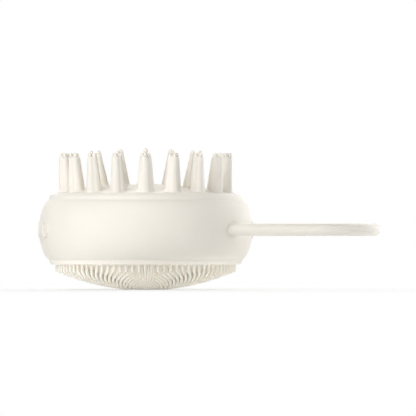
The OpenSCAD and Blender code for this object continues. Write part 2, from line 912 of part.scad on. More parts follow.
module motor_end_cap() {
    color([0.15, 0.15, 0.16])
        at_motor()
            difference() {
                union() {
                    translate([0, 0, -motor_l / 2 - end_cap_t])
                        cylinder(r = motor_d / 2, h = end_cap_t);
                    translate([0, 0, -motor_l / 2 - end_cap_t / 2])
                        cylinder(r = motor_d / 2 - can_t - layer_gap, h = end_cap_t / 2 + spigot_t);
                }
                translate([0, 0, -motor_l / 2 - end_cap_t / 2])
                    cylinder(r = shaft_d / 2 + shaft_gap, h = BIG);
            }
}

module motor_bush() {
    color([0.75, 0.55, 0.25])
        at_motor()
            difference() {
                union() {
                    translate([0, 0, motor_l / 2 - front_t])
                        cylinder(r = bush_r, h = front_t);
                    translate([0, 0, motor_l / 2])
                        cylinder(r = bush_flange_r, h = front_t);
                }
                cylinder(r = shaft_d / 2 + shaft_gap, h = BIG);
            }
}

module motor_magnets() {
    color([0.3, 0.3, 0.32])
        at_motor()
            difference() {
                cylinder(r = motor_d / 2 - can_t - press_gap, h = magnet_l, center = true);
                cylinder(r = magnet_in_r, h = BIG, center = true);
                cube([1.5 * motor_d, magnet_split, BIG], center = true);
            }
}

module motor_cushion() {
    color([0.22, 0.22, 0.24])
        at_motor()
            difference() {
                cylinder(r = cushion_r, h = cushion_l, center = true);
                cylinder(r = motor_d / 2 + press_gap, h = BIG, center = true);
            }
}

module motor_clamp() {
    color(shell_white)
        strap(motor_x, motor_z, cushion_r);
}

module motor_shaft() {
    tail = -motor_l / 2 - end_cap_t / 2 + shaft_tail;
    color(steel)
        at_motor()
            translate([0, 0, tail])
                cylinder(r = shaft_d / 2, h = weight_start + weight_l - tail);
}

module motor_armature() {
    color([0.6, 0.35, 0.2])
        at_motor()
            difference() {
                union() {
                    cylinder(r = armature_r, h = armature_l, center = true);
                    translate([0, 0, -armature_l / 2 - commutator_l + 1])
                        cylinder(r = commutator_r, h = commutator_l);
                }
                cylinder(r = shaft_d / 2 + press_gap / 2, h = BIG, center = true);
            }
}

weight_start = motor_l / 2 + 3.5;
weight_hub_w = 1.3;

// Half disc on the shaft, hanging below it at rest
module eccentric_weight() {
    color([0.5, 0.5, 0.52])
        at_motor()
            translate([0, 0, weight_start])
                difference() {
                    union() {
                        difference() {
                            cylinder(r = weight_r, h = weight_l);
                            translate([-BIG / 2, 0, -1])
                                cube([BIG, BIG, BIG]);
                        }
                        cylinder(r = shaft_d / 2 + weight_hub_w, h = weight_l);
                    }
                    translate([0, 0, -1])
                        cylinder(r = shaft_d / 2 + press_gap / 2, h = BIG);
                }
}

// ---- Battery ----

cell_tip_r = 3;
cell_tip_t = 0.8;

module battery_cell() {
    color([0.2, 0.45, 0.6])
        translate([cell_x, 0, cell_z])
            rotate([90, 0, 0]) {
                cylinder(r = cell_d / 2, h = cell_l - 2 * cell_tip_t, center = true);
                cylinder(r = cell_tip_r, h = cell_l, center = true);
            }
}

// Foam block under the cell, between its two saddles
module battery_pad() {
    foam_l = 2 * cell_saddle_y - 2 * saddle_w;
    foam_w = 10;
    foam_h = 2.2;
    color([0.3, 0.3, 0.3])
        difference() {
            translate([cell_x - foam_w / 2, -foam_l / 2, deck_top + layer_gap])
                cube([foam_w, foam_l, foam_h]);
            translate([cell_x, 0, cell_z])
                rotate([90, 0, 0])
                    cylinder(r = cell_d / 2 + layer_gap, h = BIG, center = true);
        }
}

module battery_clamp() {
    color(shell_white)
        strap(cell_x, cell_z, cell_d / 2);
}

// ---- Circuit board ----

module circuit_board() {
    color(board_green)
        difference() {
            translate([board_x0, -board_l / 2, board_z])
                cube([board_w, board_l, board_t]);
            for (p = board_post_xy)
                translate([p[0], p[1], 0])
                    cylinder(r = small_screw_r + small_screw_room, h = BIG);
        }
}

// Chips and coils: each one's corner, from the middle of the board's -X edge, and its size
chips = [[7.5, -4, 7, 7, 1.2], [6.5, 5, 4, 3, 0.9], [16.5, -8, 4, 4, 1.8], [16.5, 3, 3, 2, 0.8],
    [8.5, -12, 3, 2, 0.8]];

module board_parts() {
    color([0.12, 0.12, 0.13])
        for (c = chips)
            translate([board_x0 + c[0], c[1], board_z + board_t])
                cube([c[2], c[3], c[4]]);
}

plug_h = 2.5;
housing_w = 5;
housing_l = 3.5;
housing_in = 0.5;
lead_z = board_z + board_t + plug_h / 2;
motor_plug_y = 7.5;
socket_plug_y = -7.5;

// Plug housings on the board, where the three leads end
module lead_plugs() {
    color([0.93, 0.92, 0.88])
        translate([0, 0, board_z + board_t]) {
            translate([cell_x - housing_w / 2, board_y1 - housing_in - housing_l, 0])
                cube([housing_w, housing_l, plug_h]);
            for (y = [motor_plug_y, socket_plug_y])
                translate([board_x1 - housing_in - housing_l, y - housing_w / 2, 0])
                    cube([housing_l, housing_w, plug_h]);
        }
}

// ---- Leads ----

lead_r = 0.9;
lead_sides = 8;

// Point at share t of a smooth curve through four points in a row
function between(a, b, c, d, t) = 0.5 * (2 * b + (c - a) * t + (2 * a - 5 * b + 4 * c - d) * t * t
    + (3 * b - a - 3 * c + d) * t * t * t);
function smooth(pts, n) = [for (k = [0:len(pts) - 2], s = [0:n - 1])
    between(pts[max(0, k - 1)], pts[k], pts[k + 1], pts[min(len(pts) - 1, k + 2)], s / n),
    ];
function unit(v) = v / norm(v);

// Round tube along a route; start and finish are the directions at its two ends
module lead(route, start, finish) {
    pts = concat(smooth(route, 2), [route[len(route) - 1]]);
    n = len(pts);
    function direction(i) = i == 0 ? start : i == n - 1 ? finish : unit(pts[i + 1] - pts[i - 1]);
    function side_of(d) = abs(d[2]) > 0.9 ? unit(cross(d, [1, 0, 0])) : unit(cross(d, [0, 0, 1]));
    function carried(i, last) = i == n ? [] : let (d = direction(i), u = unit(last - (last * d) * d))
        concat([u], carried(i + 1, u));
    us = carried(0, side_of(start));
    loft([for (i = [0:n - 1]) let (d = direction(i), u = us[i], v = cross(d, u))
        [for (k = [0:lead_sides - 1]) pts[i] + lead_r * (cos(45 * k) * u + sin(45 * k) * v)]]);
}

// The routes' steps of a few millimetres are the bends that the leads take past the parts around them
module battery_lead() {
    y0 = cell_l / 2;
    y1 = board_y1 - housing_in;
    color([0.75, 0.15, 0.12])
        lead([[cell_x, y0, cell_z], [cell_x, y0 + 2, cell_z], [cell_x, y0 + 3.5, cell_z + 2.5],
            [cell_x, y0 + 3.5, cell_z + 6], [cell_x, y0 + 2, lead_z - 1.6], [cell_x, y0 - 1.5, lead_z],
            [cell_x, y1, lead_z]], [0, 1, 0], [0, -1, 0]);
}

module motor_lead() {
    y0 = motor_l / 2 + end_cap_t;
    z0 = motor_z + motor_d / 4;
    x1 = board_x1 - housing_in;
    color([0.15, 0.25, 0.6])
        lead([[motor_x, y0, z0], [motor_x, y0 + 2, z0], [motor_x - 2, y0 + 3.6, z0 + 2],
            [motor_x - 6, y0 + 3, z0 + 4.8], [x1 + 7, motor_plug_y + 3, lead_z],
            [x1 + 3.5, motor_plug_y, lead_z], [x1, motor_plug_y, lead_z]], [0, 1, 0], [-1, 0, 0]);
}

module socket_lead() {
    x0 = socket_front - socket_l;
    x1 = board_x1 - housing_in;
    color([0.2, 0.2, 0.22])
        lead([[x0, 0, waist_z], [x0 - 2, 0, waist_z], [x0 - 4, -3.5, waist_z + 3],
            [x0 - 6.5, -7, waist_z + 7], [motor_x + 7, socket_plug_y, lead_z - 1.4],
            [motor_x, socket_plug_y, lead_z + 0.4],
            [x1 + 5, socket_plug_y, lead_z], [x1, socket_plug_y, lead_z]], [-1, 0, 0], [-1, 0, 0]);
}

// ---- Screws ----

slot_w = 0.5;

// Screw with its head's underside at the origin and its shank going down
module screw(shank_r, shank_l, head_r, head_h) {
    slot_l = head_r * 1.2;
    translate([0, 0, -shank_l])
        cylinder(r = shank_r, h = shank_l);
    difference() {
        cylinder(r = head_r, h = head_h);
        for (a = [0, 90])
            rotate([0, 0, a])
                translate([-slot_l / 2, -slot_w / 2, head_h / 2])
                    cube([slot_l, slot_w, head_h]);
    }
}

module case_screws() {
    color(steel)
        at_bosses()
            translate([0, 0, head_seat_z])
                mirror([0, 0, 1])
                    screw(screw_r, split_z + screw_bite - head_seat_z, screw_head_r, screw_head_h);
}

module chassis_screws() {
    color(steel)
        for (p = post_xy)
            translate([p[0], p[1], deck_top + layer_gap])
                screw(small_screw_r, deck_t + small_screw_l, small_head_r, small_head_h);
}

module clamp_screws() {
    color(steel)
        for (x = concat(motor_feet, cell_feet))
            translate([x, 0, deck_top + 2 * layer_gap + foot_t])
                screw(small_screw_r, foot_t + deck_t, small_head_r, small_head_h);
}

module board_screws() {
    color(steel)
        for (p = board_post_xy)
            translate([p[0], p[1], board_z + board_t])
                screw(small_screw_r, board_t + small_screw_l - tip_gap, small_head_r, small_head_h);
}

side_sleeve();
prong_pad();
brush_pad();
upper_shell();
lower_shell();
seal_ring();
hanging_loop();
loop_grommets();
loop_washers();
power_button();
minus_button();
plus_button();
power_plunger();
minus_plunger();
plus_plunger();
key_switches();
key_board();
key_ribbon();
port_cover();
cover_pin();
charge_socket();
socket_seal();
socket_lead();
chassis();
motor_can();
motor_end_cap();
motor_bush();
motor_magnets();
motor_cushion();
motor_clamp();
motor_shaft();
motor_armature();
eccentric_weight();
motor_lead();
battery_cell();
battery_pad();
battery_clamp();
battery_lead();
circuit_board();
board_parts();
lead_plugs();
case_screws();
chassis_screws();
clamp_screws();
board_screws();
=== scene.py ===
"""Looks of a two-sided electric scalp massager: soft prongs above, a bristle brush below, a padded side with
three keys and a charging flap, and a round hanging loop."""

import math

import bmesh
import bpy
import numpy as np
from bpy.props import FloatProperty, FloatVectorProperty, IntProperty, PointerProperty
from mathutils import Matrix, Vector


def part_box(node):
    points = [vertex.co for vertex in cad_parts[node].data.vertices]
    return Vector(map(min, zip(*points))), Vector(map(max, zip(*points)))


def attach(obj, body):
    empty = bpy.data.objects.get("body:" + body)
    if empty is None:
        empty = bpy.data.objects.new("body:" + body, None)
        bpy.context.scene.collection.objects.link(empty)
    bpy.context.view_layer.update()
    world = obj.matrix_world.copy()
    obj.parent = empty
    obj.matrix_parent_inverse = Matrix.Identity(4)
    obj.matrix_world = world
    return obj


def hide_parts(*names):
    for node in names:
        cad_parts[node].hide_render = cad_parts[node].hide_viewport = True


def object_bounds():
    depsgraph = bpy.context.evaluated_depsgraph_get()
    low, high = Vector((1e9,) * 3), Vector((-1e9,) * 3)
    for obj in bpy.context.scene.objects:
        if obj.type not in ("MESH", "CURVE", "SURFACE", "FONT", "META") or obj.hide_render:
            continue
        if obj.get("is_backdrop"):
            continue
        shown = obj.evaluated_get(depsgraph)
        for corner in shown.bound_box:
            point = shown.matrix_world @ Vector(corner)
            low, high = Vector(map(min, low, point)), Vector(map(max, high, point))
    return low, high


bl_info = {
    "name": "Scalp massager",
    "version": (1, 0, 0),
    "blender": (4, 5, 0),
    "location": "View3D > Sidebar > Massager",
    "description": "Builds the soft pieces, finishes and stage of a scalp massager on its packed frame",
    "category": "Add Mesh",
}

MM = 0.001
MERGE = 0.0002 * MM
CRISP_ANGLE = math.radians(50)
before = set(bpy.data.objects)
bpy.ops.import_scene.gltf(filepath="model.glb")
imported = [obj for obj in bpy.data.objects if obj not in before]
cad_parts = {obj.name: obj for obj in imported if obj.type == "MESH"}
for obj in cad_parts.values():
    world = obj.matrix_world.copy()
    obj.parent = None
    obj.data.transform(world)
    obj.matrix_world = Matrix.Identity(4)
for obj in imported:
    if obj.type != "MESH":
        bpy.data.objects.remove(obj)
cad_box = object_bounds()
sleeve_low, sleeve_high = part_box("side_sleeve")
WAIST_Z = (sleeve_low.z + sleeve_high.z) / 2
SIDE_D = sleeve_high.y - sleeve_low.y


# ---- Sizes and colours that a user would change ----


def length(name, description, millimetres):
    default = millimetres * MM
    return FloatProperty(
        name=name, description=description, default=default, min=0.0, unit="LENGTH", precision=5
    )


def watts(name, description, default):
    return FloatProperty(name=name, description=description, default=default, min=0.0, unit="POWER")


def colour(name, description, default):
    return FloatVectorProperty(
        name=name, description=description, default=default, size=3, min=0.0, max=1.0, subtype="COLOR"
    )


class BodySizes(bpy.types.PropertyGroup):
    """Round body: the padded side between two lipped pads"""

    diameter: length("Diameter", "Largest diameter, at the waist", SIDE_D / MM)
    height: length("Height", "Height between the two flat rims", 29.5)
    bulge: length("Bulge", "How far the waist stands out past the centre of its curve", 5.5)
    bulge_end: length("Bulge end", "How far the side's curve runs on under each lip", 0.5)
    lip_height: length("Lip height", "Height of the lip round each rim", 2.15)
    lip_draft: length("Lip draft", "How far each lip draws in from its crease to its rim", 0.85)
    face_diameter: length("Face diameter", "Diameter of the domed face inside each rim", 76)
    sleeve: length("Sleeve thickness", "Thickness of the soft side", 1.9)
    pad: length("Pad thickness", "Thickness of the two soft faces", 1.8)
    rounding: length("Rim rounding", "Rounding of the rims' outer corners", 0.45)


class ProngSizes(bpy.types.PropertyGroup):
    """Prong face: its crown and its four rings of prongs"""

    crown_rise: length("Crown rise", "Rise of the face's middle above its rim", 4.45)
    crown_edge: length("Crown edge", "Step from the rim up to the face", 0.5)
    width: length("Prong width", "Width of a prong at its foot", 7.25)
    top_width: length("Shoulder width", "Width of an outer prong at its shoulder", 4.65)
    rise: length("Rise", "Height of the outer prongs above the rim", 17.55)
    nub_height: length("Nub height", "Length of the four nubs that end each outer prong", 1.65)
    nub_width: length("Nub width", "Diameter of a nub", 1.4)
    tip_width: length("Tip width", "Width of an inner prong where its rounded tip begins", 2.05)
    tip_height: length("Tip height", "Height of an inner prong's rounded tip", 1.75)
    fillet: length("Foot fillet", "Radius where a prong runs into the face", 0.55)


class BristleSizes(bpy.types.PropertyGroup):
    """Brush face: its dome and its rings of bristles"""

    face_rise: length("Brush height", "Height of the lower rim above the lowest tips", 10.55)
    long: length("Bristle length", "Length of a bristle", 3)
    width: length("Bristle width", "Diameter of a bristle", 1.15)
    flat_cut: length("Flat cut", "How deep the lowest tips are worn flat", 0.5)
    ring_pitch: length("Ring pitch", "Distance from one ring of bristles to the next", 1.567)
    rings: IntProperty(name="Rings", description="Rings of bristles round the middle one", default=24, min=6)
    outer_count: IntProperty(name="Outer count", description="Bristles in an outer ring", default=88, min=16)


class LoopSizes(bpy.types.PropertyGroup):
    """Moulded hanging loop"""

    width: length("Strand width", "Diameter of the loop's strands", 5.3)
    span: length("Span", "Distance between the two strands", 51.2)
    reach: length("Reach", "How far the loop stands out past the waist", 54.1)
    recess: length("Recess", "Width of the recess round each strand", 0.75)
    root: length("Root", "Distance from the axis to the loop's heads", 23.5)
    head_width: length("Head width", "Diameter of the head that holds each strand", 8.4)
    head_height: length("Head height", "Length of each head", 3)


class KeySizes(bpy.types.PropertyGroup):
    """Keys and the flap over the charging hole"""

    width: length("Key width", "Diameter of a key", 6.8)
    proud: length("Key height", "How far a key's ring stands out of the waist", 0.4)
    rim: length("Key rim", "Width of a key's raised ring", 0.85)
    dish: length("Key dish", "Depth of a key's face below its ring", 0.3)
    symbol: length("Symbol length", "Length of a key's symbol", 2.6)
    stroke: length("Symbol stroke", "Width of a symbol's bars", 0.5)
    step: FloatProperty(
        name="Key step", description="Angle between keys", default=math.radians(20), subtype="ANGLE"
    )
    flap_width: length("Flap width", "Diameter of the charging flap", 7.4)
    flap_proud: length("Flap height", "How far the flap stands out of the waist", 0.3)
    flap_thickness: length("Flap thickness", "Thickness of the flap", 1)


class Colours(bpy.types.PropertyGroup):
    """Colours of the soft pieces, the casing and the floor"""

    silicone: colour("Silicone", "Ivory silicone of all the soft pieces", (0.86, 0.83, 0.765))
    silicone_shade: colour("Silicone shade", "Warmer tone that the silicone drifts to", (0.84, 0.8, 0.725))
    # Painted light: the bristles' two tones are the ivory silicone painted paler, in place of the brighter
    # light that reaches the brush face and its gaps
    bristle: colour("Bristles", "Paler silicone of the bristles, whose gaps glow warm", (0.92, 0.885, 0.81))
    bristle_shade_painted_paler: colour("Bristle shade", "Warmer tone of the bristles", (0.9, 0.86, 0.77))
    shell: colour("Casing", "White plastic of the hard casing and the chassis", (0.8, 0.8, 0.77))
    floor: colour("Floor", "Pale floor", (0.92, 0.92, 0.92))


class StageValues(bpy.types.PropertyGroup):
    """Soft studio light, in watts for each lamp"""

    upper_left: watts("Upper left lamp", "Large lamp in front, high at the left", 3.71)
    top: watts("Top lamp", "Wide lamp above and a little in front", 2.15)
    front: watts("Front lamp", "Low wide lamp in front", 0.94)
    lower_left: watts("Lower left lamp", "Low lamp in front, at the left", 0.99)
    right: watts("Right lamp", "Lamp at the right", 2.06)
    right_rim: watts("Right rim lamp", "Tall lamp behind, at the right", 3.41)
    back: watts("Back lamp", "Wide lamp above and behind", 4.13)
    under: watts("Under lamp", "Small light table under the brush face", 0.0079)


# ---- Shapes as grids of points ----


def rounded(corners, steps=6):
    """Outline through corners (x, y, size): a parabola that starts and ends that size away rounds each."""
    points = np.array([c[:2] for c in corners], float)
    t = np.linspace(0, 1, steps)[:, None]
    outline = []
    for i, (_, _, size) in enumerate(corners):
        if size == 0 or i in (0, len(corners) - 1):
            outline.append(points[i : i + 1])
            continue
        back, on = points[i - 1] - points[i], points[i + 1] - points[i]
        start = points[i] + back / np.linalg.norm(back) * size
        end = points[i] + on / np.linalg.norm(on) * size
        outline.append((1 - t) ** 2 * start + 2 * t * (1 - t) * points[i] + t**2 * end)
    return np.concatenate(outline)


def angles(columns, start=0.0):
    return start + np.arange(columns) * (2 * math.pi / columns)


def revolve(profile, columns):
    """Profile of (radius, height) carried round the upright axis: x = radius cos t, y = radius sin t."""
    t = angles(columns)
    radius, height = profile[:, 0, None], profile[:, 1, None]
    return np.stack([radius * np.cos(t), radius * np.sin(t), height + 0 * t], -1)


def planar_tube(path, side, radii, sides, flatten=1.0):
    """Tube round a level path: centre + radius (cos a side + sin a up), where side is square to the path."""
    a = angles(sides)
    flat = path[:, None] + radii[:, None, None] * np.cos(a)[:, None] * side[:, None]
    up = flatten * radii[:, None] * np.sin(a)
    return np.concatenate([flat, up[..., None]], -1)


def with_round_ends(path, radius, steps=5):
    """A path and its radii with a half ball at each end: radius sin t at radius cos t beyond the end."""
    t = np.linspace(0, math.pi / 2, steps)[:-1]
    first, last = path[0] - path[1], path[-1] - path[-2]
    first, last = first / np.linalg.norm(first), last / np.linalg.norm(last)
    start = path[0] + radius * np.cos(t)[:, None] * first
    end = path[-1] + radius * np.cos(t)[::-1, None] * last
    radii = [radius * np.sin(t), np.full(len(path), radius), radius * np.sin(t)[::-1]]
    return np.concatenate([start, path, end]), np.concatenate(radii)


def soft_block(low, high, edge, columns=16, rows=8):
    """Block with round edges: a ball of the edge radius, pushed apart to the block's eight corners."""
    low, high = np.array(low, float), np.array(high, float)
    t = angles(columns, math.pi / columns)
    lift = np.linspace(-math.pi / 2, math.pi / 2, rows)[:, None]
    ball = np.stack([np.cos(lift) * np.cos(t), np.cos(lift) * np.sin(t), np.sin(lift) + 0 * t], -1)
    ball[np.abs(ball) < 1e-9] = 0
    return (low + high) / 2 + edge * ball + np.sign(ball) * ((high - low) / 2 - edge)


def part(points, wrap_rows=False):
    """Faces between neighbouring points of a grid (copies, rows, columns, 3) whose columns close up."""
    points = points if points.ndim == 4 else points[None]
    copies, rows, columns = points.shape[:3]
    row = np.arange(rows if wrap_rows else rows - 1)[:, None]
    column = np.arange(columns)[None]
    low, high, beside = row * columns, (row + 1) % rows * columns, (column + 1) % columns
    quads = np.stack([low + column, low + beside, high + beside, high + column], -1).reshape(1, -1, 4)
    first = np.arange(copies)[:, None, None] * rows * columns
    return points.reshape(-1, 3), (quads + first).reshape(-1, 4)


def new_object(name, data):
    """Object that is linked into the scene."""
    thing = bpy.data.objects.new(name, data)
    bpy.context.scene.collection.objects.link(thing)
    return thing


def solid(name, parts, finish):
    """Object from several grids: points are joined, doubles at seams and poles merged, and faces smoothed."""
    points = np.concatenate([p for p, _ in parts])
    firsts = np.cumsum([0] + [len(p) for p, _ in parts[:-1]])
    quads = np.concatenate([q + first for (_, q), first in zip(parts, firsts)])
    mesh = bpy.data.meshes.new(name)
    mesh.vertices.add(len(points))
    mesh.vertices.foreach_set("co", points.astype(np.float32).ravel())
    mesh.loops.add(quads.size)
    mesh.loops.foreach_set("vertex_index", quads.astype(np.int32).ravel())
    mesh.polygons.add(len(quads))
    mesh.polygons.foreach_set("loop_start", np.arange(0, quads.size, 4, dtype=np.int32))
    mesh.update(calc_edges=True)
    shape = bmesh.new()
    shape.from_mesh(mesh)
    bmesh.ops.remove_doubles(shape, verts=shape.verts, dist=MERGE)
    shape.to_mesh(mesh)
    shape.free()
    mesh.shade_smooth()
    mesh.set_sharp_from_angle(angle=CRISP_ANGLE)
    mesh.materials.append(bpy.data.materials[finish])
    return new_object(name, mesh)


def make_piece(name, parts, finish, body, node):
    """One visible piece that stands for a node of the frame and rides on its body."""
    piece = solid(name, parts, finish)
    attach(piece, body)
    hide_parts(node)


# ---- The body's own curves ----


def side_half_height(body):
    return body.height / 2 - body.lip_height + body.bulge_end


def side_radius(body, height):
    """Radius of the side at a height above the waist: an ellipse whose centre lies inside the wall."""
    across = np.sqrt(np.clip(1 - (height / side_half_height(body)) ** 2, 0, None))
    return body.diameter / 2 - body.bulge + body.bulge * across


def arc_radius(half_width, sag):
    """Radius of the circle whose arc is twice half_width wide and sag high."""
    return (half_width**2 + sag**2) / (2 * sag)


def sagitta(radius, r):
    """How far a circle's arc has dropped at distance r from its top."""
    return radius - np.sqrt(radius**2 - r**2)


def crown_height(body, prongs, r):
    """Height of the prong face at radius r: a shallow ball cap that ends a small step above the rim."""
    cap = arc_radius(body.face_diameter / 2, prongs.crown_rise - prongs.crown_edge)
    return WAIST_Z + body.height / 2 + prongs.crown_rise - sagitta(cap, r)


def tip_height(body, bristles, r):
    """Height of the dome that the bristle tips lie on, before the lowest are worn flat."""
    drop = bristles.face_rise - bristles.long + bristles.flat_cut
    ball = arc_radius(body.face_diameter / 2, drop)
    low = WAIST_Z - body.height / 2 - bristles.face_rise
    return low - bristles.flat_cut + sagitta(ball, np.minimum(r, body.face_diameter / 2))


def lip_corners(body):
    """Lip and rim of a face pad: (radius, height above the waist, rounding), from the inside out."""
    lip_z = body.height / 2 - body.lip_height
    shell_z = body.height / 2 - body.pad
    lip_r = float(side_radius(body, lip_z))
    rim_r = lip_r - body.lip_draft
    return [
        (float(side_radius(body, shell_z)) - body.sleeve, shell_z, 0),
        (lip_r - body.sleeve, lip_z, 0),
        (lip_r, lip_z, 0),
        (lip_r - body.lip_draft * 0.35, lip_z + body.lip_height * 0.5, 0.3 * MM),
        (rim_r, body.height / 2, body.rounding),
        (body.face_diameter / 2 + 0.5 * MM, body.height / 2, 0.25 * MM),
    ]


# ---- Prong face ----

# Rings of prongs, from the middle out
RING_COUNTS = (1, 6, 12, 18)
RING_STEPS = (22.0 * MM, 11.9 * MM, 0.0)
RING_LEANS = (0.0, 0.6 * MM, 1.4 * MM, 1.4 * MM)
RING_EXTRAS = (2.2 * MM, 1.7 * MM, 1.1 * MM, 0.0)
PRONG_MARGIN = 0.85 * MM
LOBE_CENTRE, LOBE_RADIUS = 0.36, 0.64
# Foot of a prong: root below the face, rows in shares of the fillet, first row above it, blend with the face
ROOT_DEPTH = 0.4 * MM
FILLET_ROWS = (0.0, 0.06, 0.2, 0.5, 1.0)
FOOT_TOP, FOOT_FADE = 1.6 * MM, 3 * MM
# Inner prongs: how much slimmer their feet are, and the share of their height over which the flutes fade
INNER_INSET, FLUTE_FADE = 0.2 * MM, 0.3
# Shoulder of an outer prong: how far in from its taper and how far down each row lies, in millimetres
SHOULDER = ((0.03, 0.18), (0.12, 0.06), (0.35, 0.0), (0.8, -0.2), (1.4, -0.62), (1.9, -0.82))
SHOULDER_SWELL = 0.86 * MM
# Stem of a nub: half width in shares of the nub's, and height above the shoulder in millimetres
NUB_STEM = ((0.0, -0.3), (1.2, -0.3), (1.2, 0.0), (1.08, 0.15), (1.02, 0.4), (1.0, 0.8))
NUB_CAP = 0.62 * MM
NUB_INSET = 0.25 * MM


def lobes(t):
    """Four round lobes, 1 at each lobe's middle: c cos u + sqrt(q² - (c sin u)²), with u from the lobe."""
    u = (t + math.pi / 4) % (math.pi / 2) - math.pi / 4
    return LOBE_CENTRE * np.cos(u) + np.sqrt(LOBE_RADIUS**2 - (LOBE_CENTRE * np.sin(u)) ** 2)


def stand_on_face(body, prongs, ring_r, count, rise, lean, out, across, up):
    """Copies a prong round its ring. Each leans out evenly with height, and its foot follows the face."""
    fade = np.clip(1 - up / FOOT_FADE, 0, 1) ** 2
    turn = angles(count, -math.pi / 2)[:, None, None]
    r = ring_r + out + lean * np.clip(up, 0, None) / rise
    x = r * np.cos(turn) - across * np.sin(turn)
    y = r * np.sin(turn) + across * np.cos(turn)
    foot = crown_height(body, prongs, ring_r)
    own = crown_height(body, prongs, np.sqrt(x**2 + y**2))
    return np.stack([x, y, foot + up + (own - foot) * fade], -1)


def taper_rows(prongs, foot, top, neck, upper):
    """Half width and height of a prong's rows: its root, the foot's round fillet and a straight taper, which
    has the top's half width at the height of the neck."""
    f = prongs.fillet
    up = np.concatenate([[-ROOT_DEPTH], np.array(FILLET_ROWS) * f, [FOOT_TOP], upper])
    above = np.clip(up, 0, None)
    wide = foot + (top - foot) * above / neck + (f - np.sqrt(f**2 - np.clip(f - above, 0, f) ** 2))
    return np.concatenate([[0], wide]), np.concatenate([up[:1], up])


def outer_prong(prongs, rise):
    """Half width, flute share and height of an outer prong's rows, up to a shoulder that swells between the
    nubs."""
    shoulder = rise - prongs.nub_height
    top = prongs.top_width / 2
    upper = np.linspace(2.4 * MM, shoulder - 0.35 * MM, 8)
    wide, up = taper_rows(prongs, prongs.width / 2, top, shoulder, upper)
    inwards, down = np.array(SHOULDER).T * MM
    wide = np.concatenate([wide, top - inwards, [0]])
    up = np.concatenate([up, shoulder - down, [shoulder + SHOULDER_SWELL]])
    return wide, np.ones(len(up)), up


def inner_prong(prongs, rise):
    """Half width, flute share and height of an inner prong's rows. Its flutes fade out below a round tip."""
    neck = rise - prongs.tip_height
    top = prongs.tip_width / 2
    upper = np.linspace(2.6 * MM, neck, 11)
    wide, up = taper_rows(prongs, prongs.width / 2 - INNER_INSET, top, neck, upper)
    fade = np.clip((neck - up) / (FLUTE_FADE * neck), 0, 1)
    t = np.linspace(0, math.pi / 2, 9)[1:]
    wide = np.concatenate([wide, top * np.cos(t)])
    wide[-1] = 0
    flute = np.concatenate([fade * fade * (3 - 2 * fade), np.zeros(len(t))])
    return wide, flute, np.concatenate([up, neck + prongs.tip_height * np.sin(t)])


def nub_rows(prongs):
    """Half width and height of a nub's rows: a waisted stem and a round top."""
    stem_wide, stem_up = np.array(NUB_STEM).T
    t = np.linspace(0, math.pi / 2, 5)
    wide = np.concatenate([stem_wide, np.cos(t)]) * prongs.nub_width / 2
    wide[-1] = 0
    return wide, np.concatenate([stem_up * MM, prongs.nub_height - NUB_CAP + NUB_CAP * np.sin(t)])


def prong_parts(body, prongs):
    """All the prongs as grids: width × (1 + flute (lobes - 1)) round each prong's axis, row by row."""
    rim_top = WAIST_Z + body.height / 2
    outer_r = body.face_diameter / 2 - prongs.width / 2 - PRONG_MARGIN
    ring_rs = (0.0, outer_r - RING_STEPS[0], outer_r - RING_STEPS[1], outer_r)
    t = angles(48)
    parts = []
    for ring, (ring_r, count) in enumerate(zip(ring_rs, RING_COUNTS)):
        rise = rim_top + prongs.rise + RING_EXTRAS[ring] - float(crown_height(body, prongs, ring_r))
        outermost = ring == len(RING_COUNTS) - 1
        wide, flute, up = (outer_prong if outermost else inner_prong)(prongs, rise)
        radius = wide[:, None] * (1 + flute[:, None] * (lobes(t) - 1))
        place = (body, prongs, ring_r, count, rise, RING_LEANS[ring])
        grid = stand_on_face(*place, radius * np.cos(t), radius * np.sin(t), up[:, None])
        parts.append(part(grid))
        if outermost:
            nub_wide, nub_up = nub_rows(prongs)
            around = angles(14)
            reach = prongs.top_width / 2 - NUB_INSET - prongs.nub_width / 2
            for a in angles(4):
                out = reach * math.cos(a) + nub_wide[:, None] * np.cos(around)
                across = reach * math.sin(a) + nub_wide[:, None] * np.sin(around)
                height = rise - prongs.nub_height + nub_up[:, None]
                parts.append(part(stand_on_face(*place, out, across, height)))
    return parts


def prong_pad_profile(body, prongs):
    """Closed outline of the pad: out below, up round the lip and in over the crown."""
    face_r = body.face_diameter / 2
    under_r = np.linspace(0, face_r - 1.5 * MM, 12)
    under = np.stack([under_r, crown_height(body, prongs, under_r) - body.pad], -1)
    step = (face_r, float(crown_height(body, prongs, face_r)) - WAIST_Z, 0.3 * MM)
    inner = (face_r - 1.5 * MM, float(crown_height(body, prongs, face_r - 1.5 * MM)) - WAIST_Z, 0)
    lip = rounded([*lip_corners(body), step, inner]) + [0, WAIST_Z]
    over_r = np.linspace(face_r - 2 * MM, 0, 24)
    over = np.stack([over_r, crown_height(body, prongs, over_r)], -1)
    return np.concatenate([under, lip, over])


# ---- Brush face ----


def brush_pad_profile(body, bristles):
    """Closed outline of the pad: out over its dome, up round the lip and back in."""
    face_r = body.face_diameter / 2
    dome_r = np.linspace(0, face_r, 24)
    dome = np.stack([dome_r, tip_height(body, bristles, dome_r) + bristles.long], -1)
    corners = [(r, -z, size) for r, z, size in lip_corners(body)][::-1]
    lip = rounded([(face_r + 0.1 * MM, corners[0][1], 0), *corners[1:]]) + [0, WAIST_Z]
    over_r = np.linspace(face_r - 1 * MM, 0, 12)
    over = np.stack([over_r, tip_height(body, bristles, over_r) + bristles.long + body.pad], -1)
    return np.concatenate([dome, lip, over])


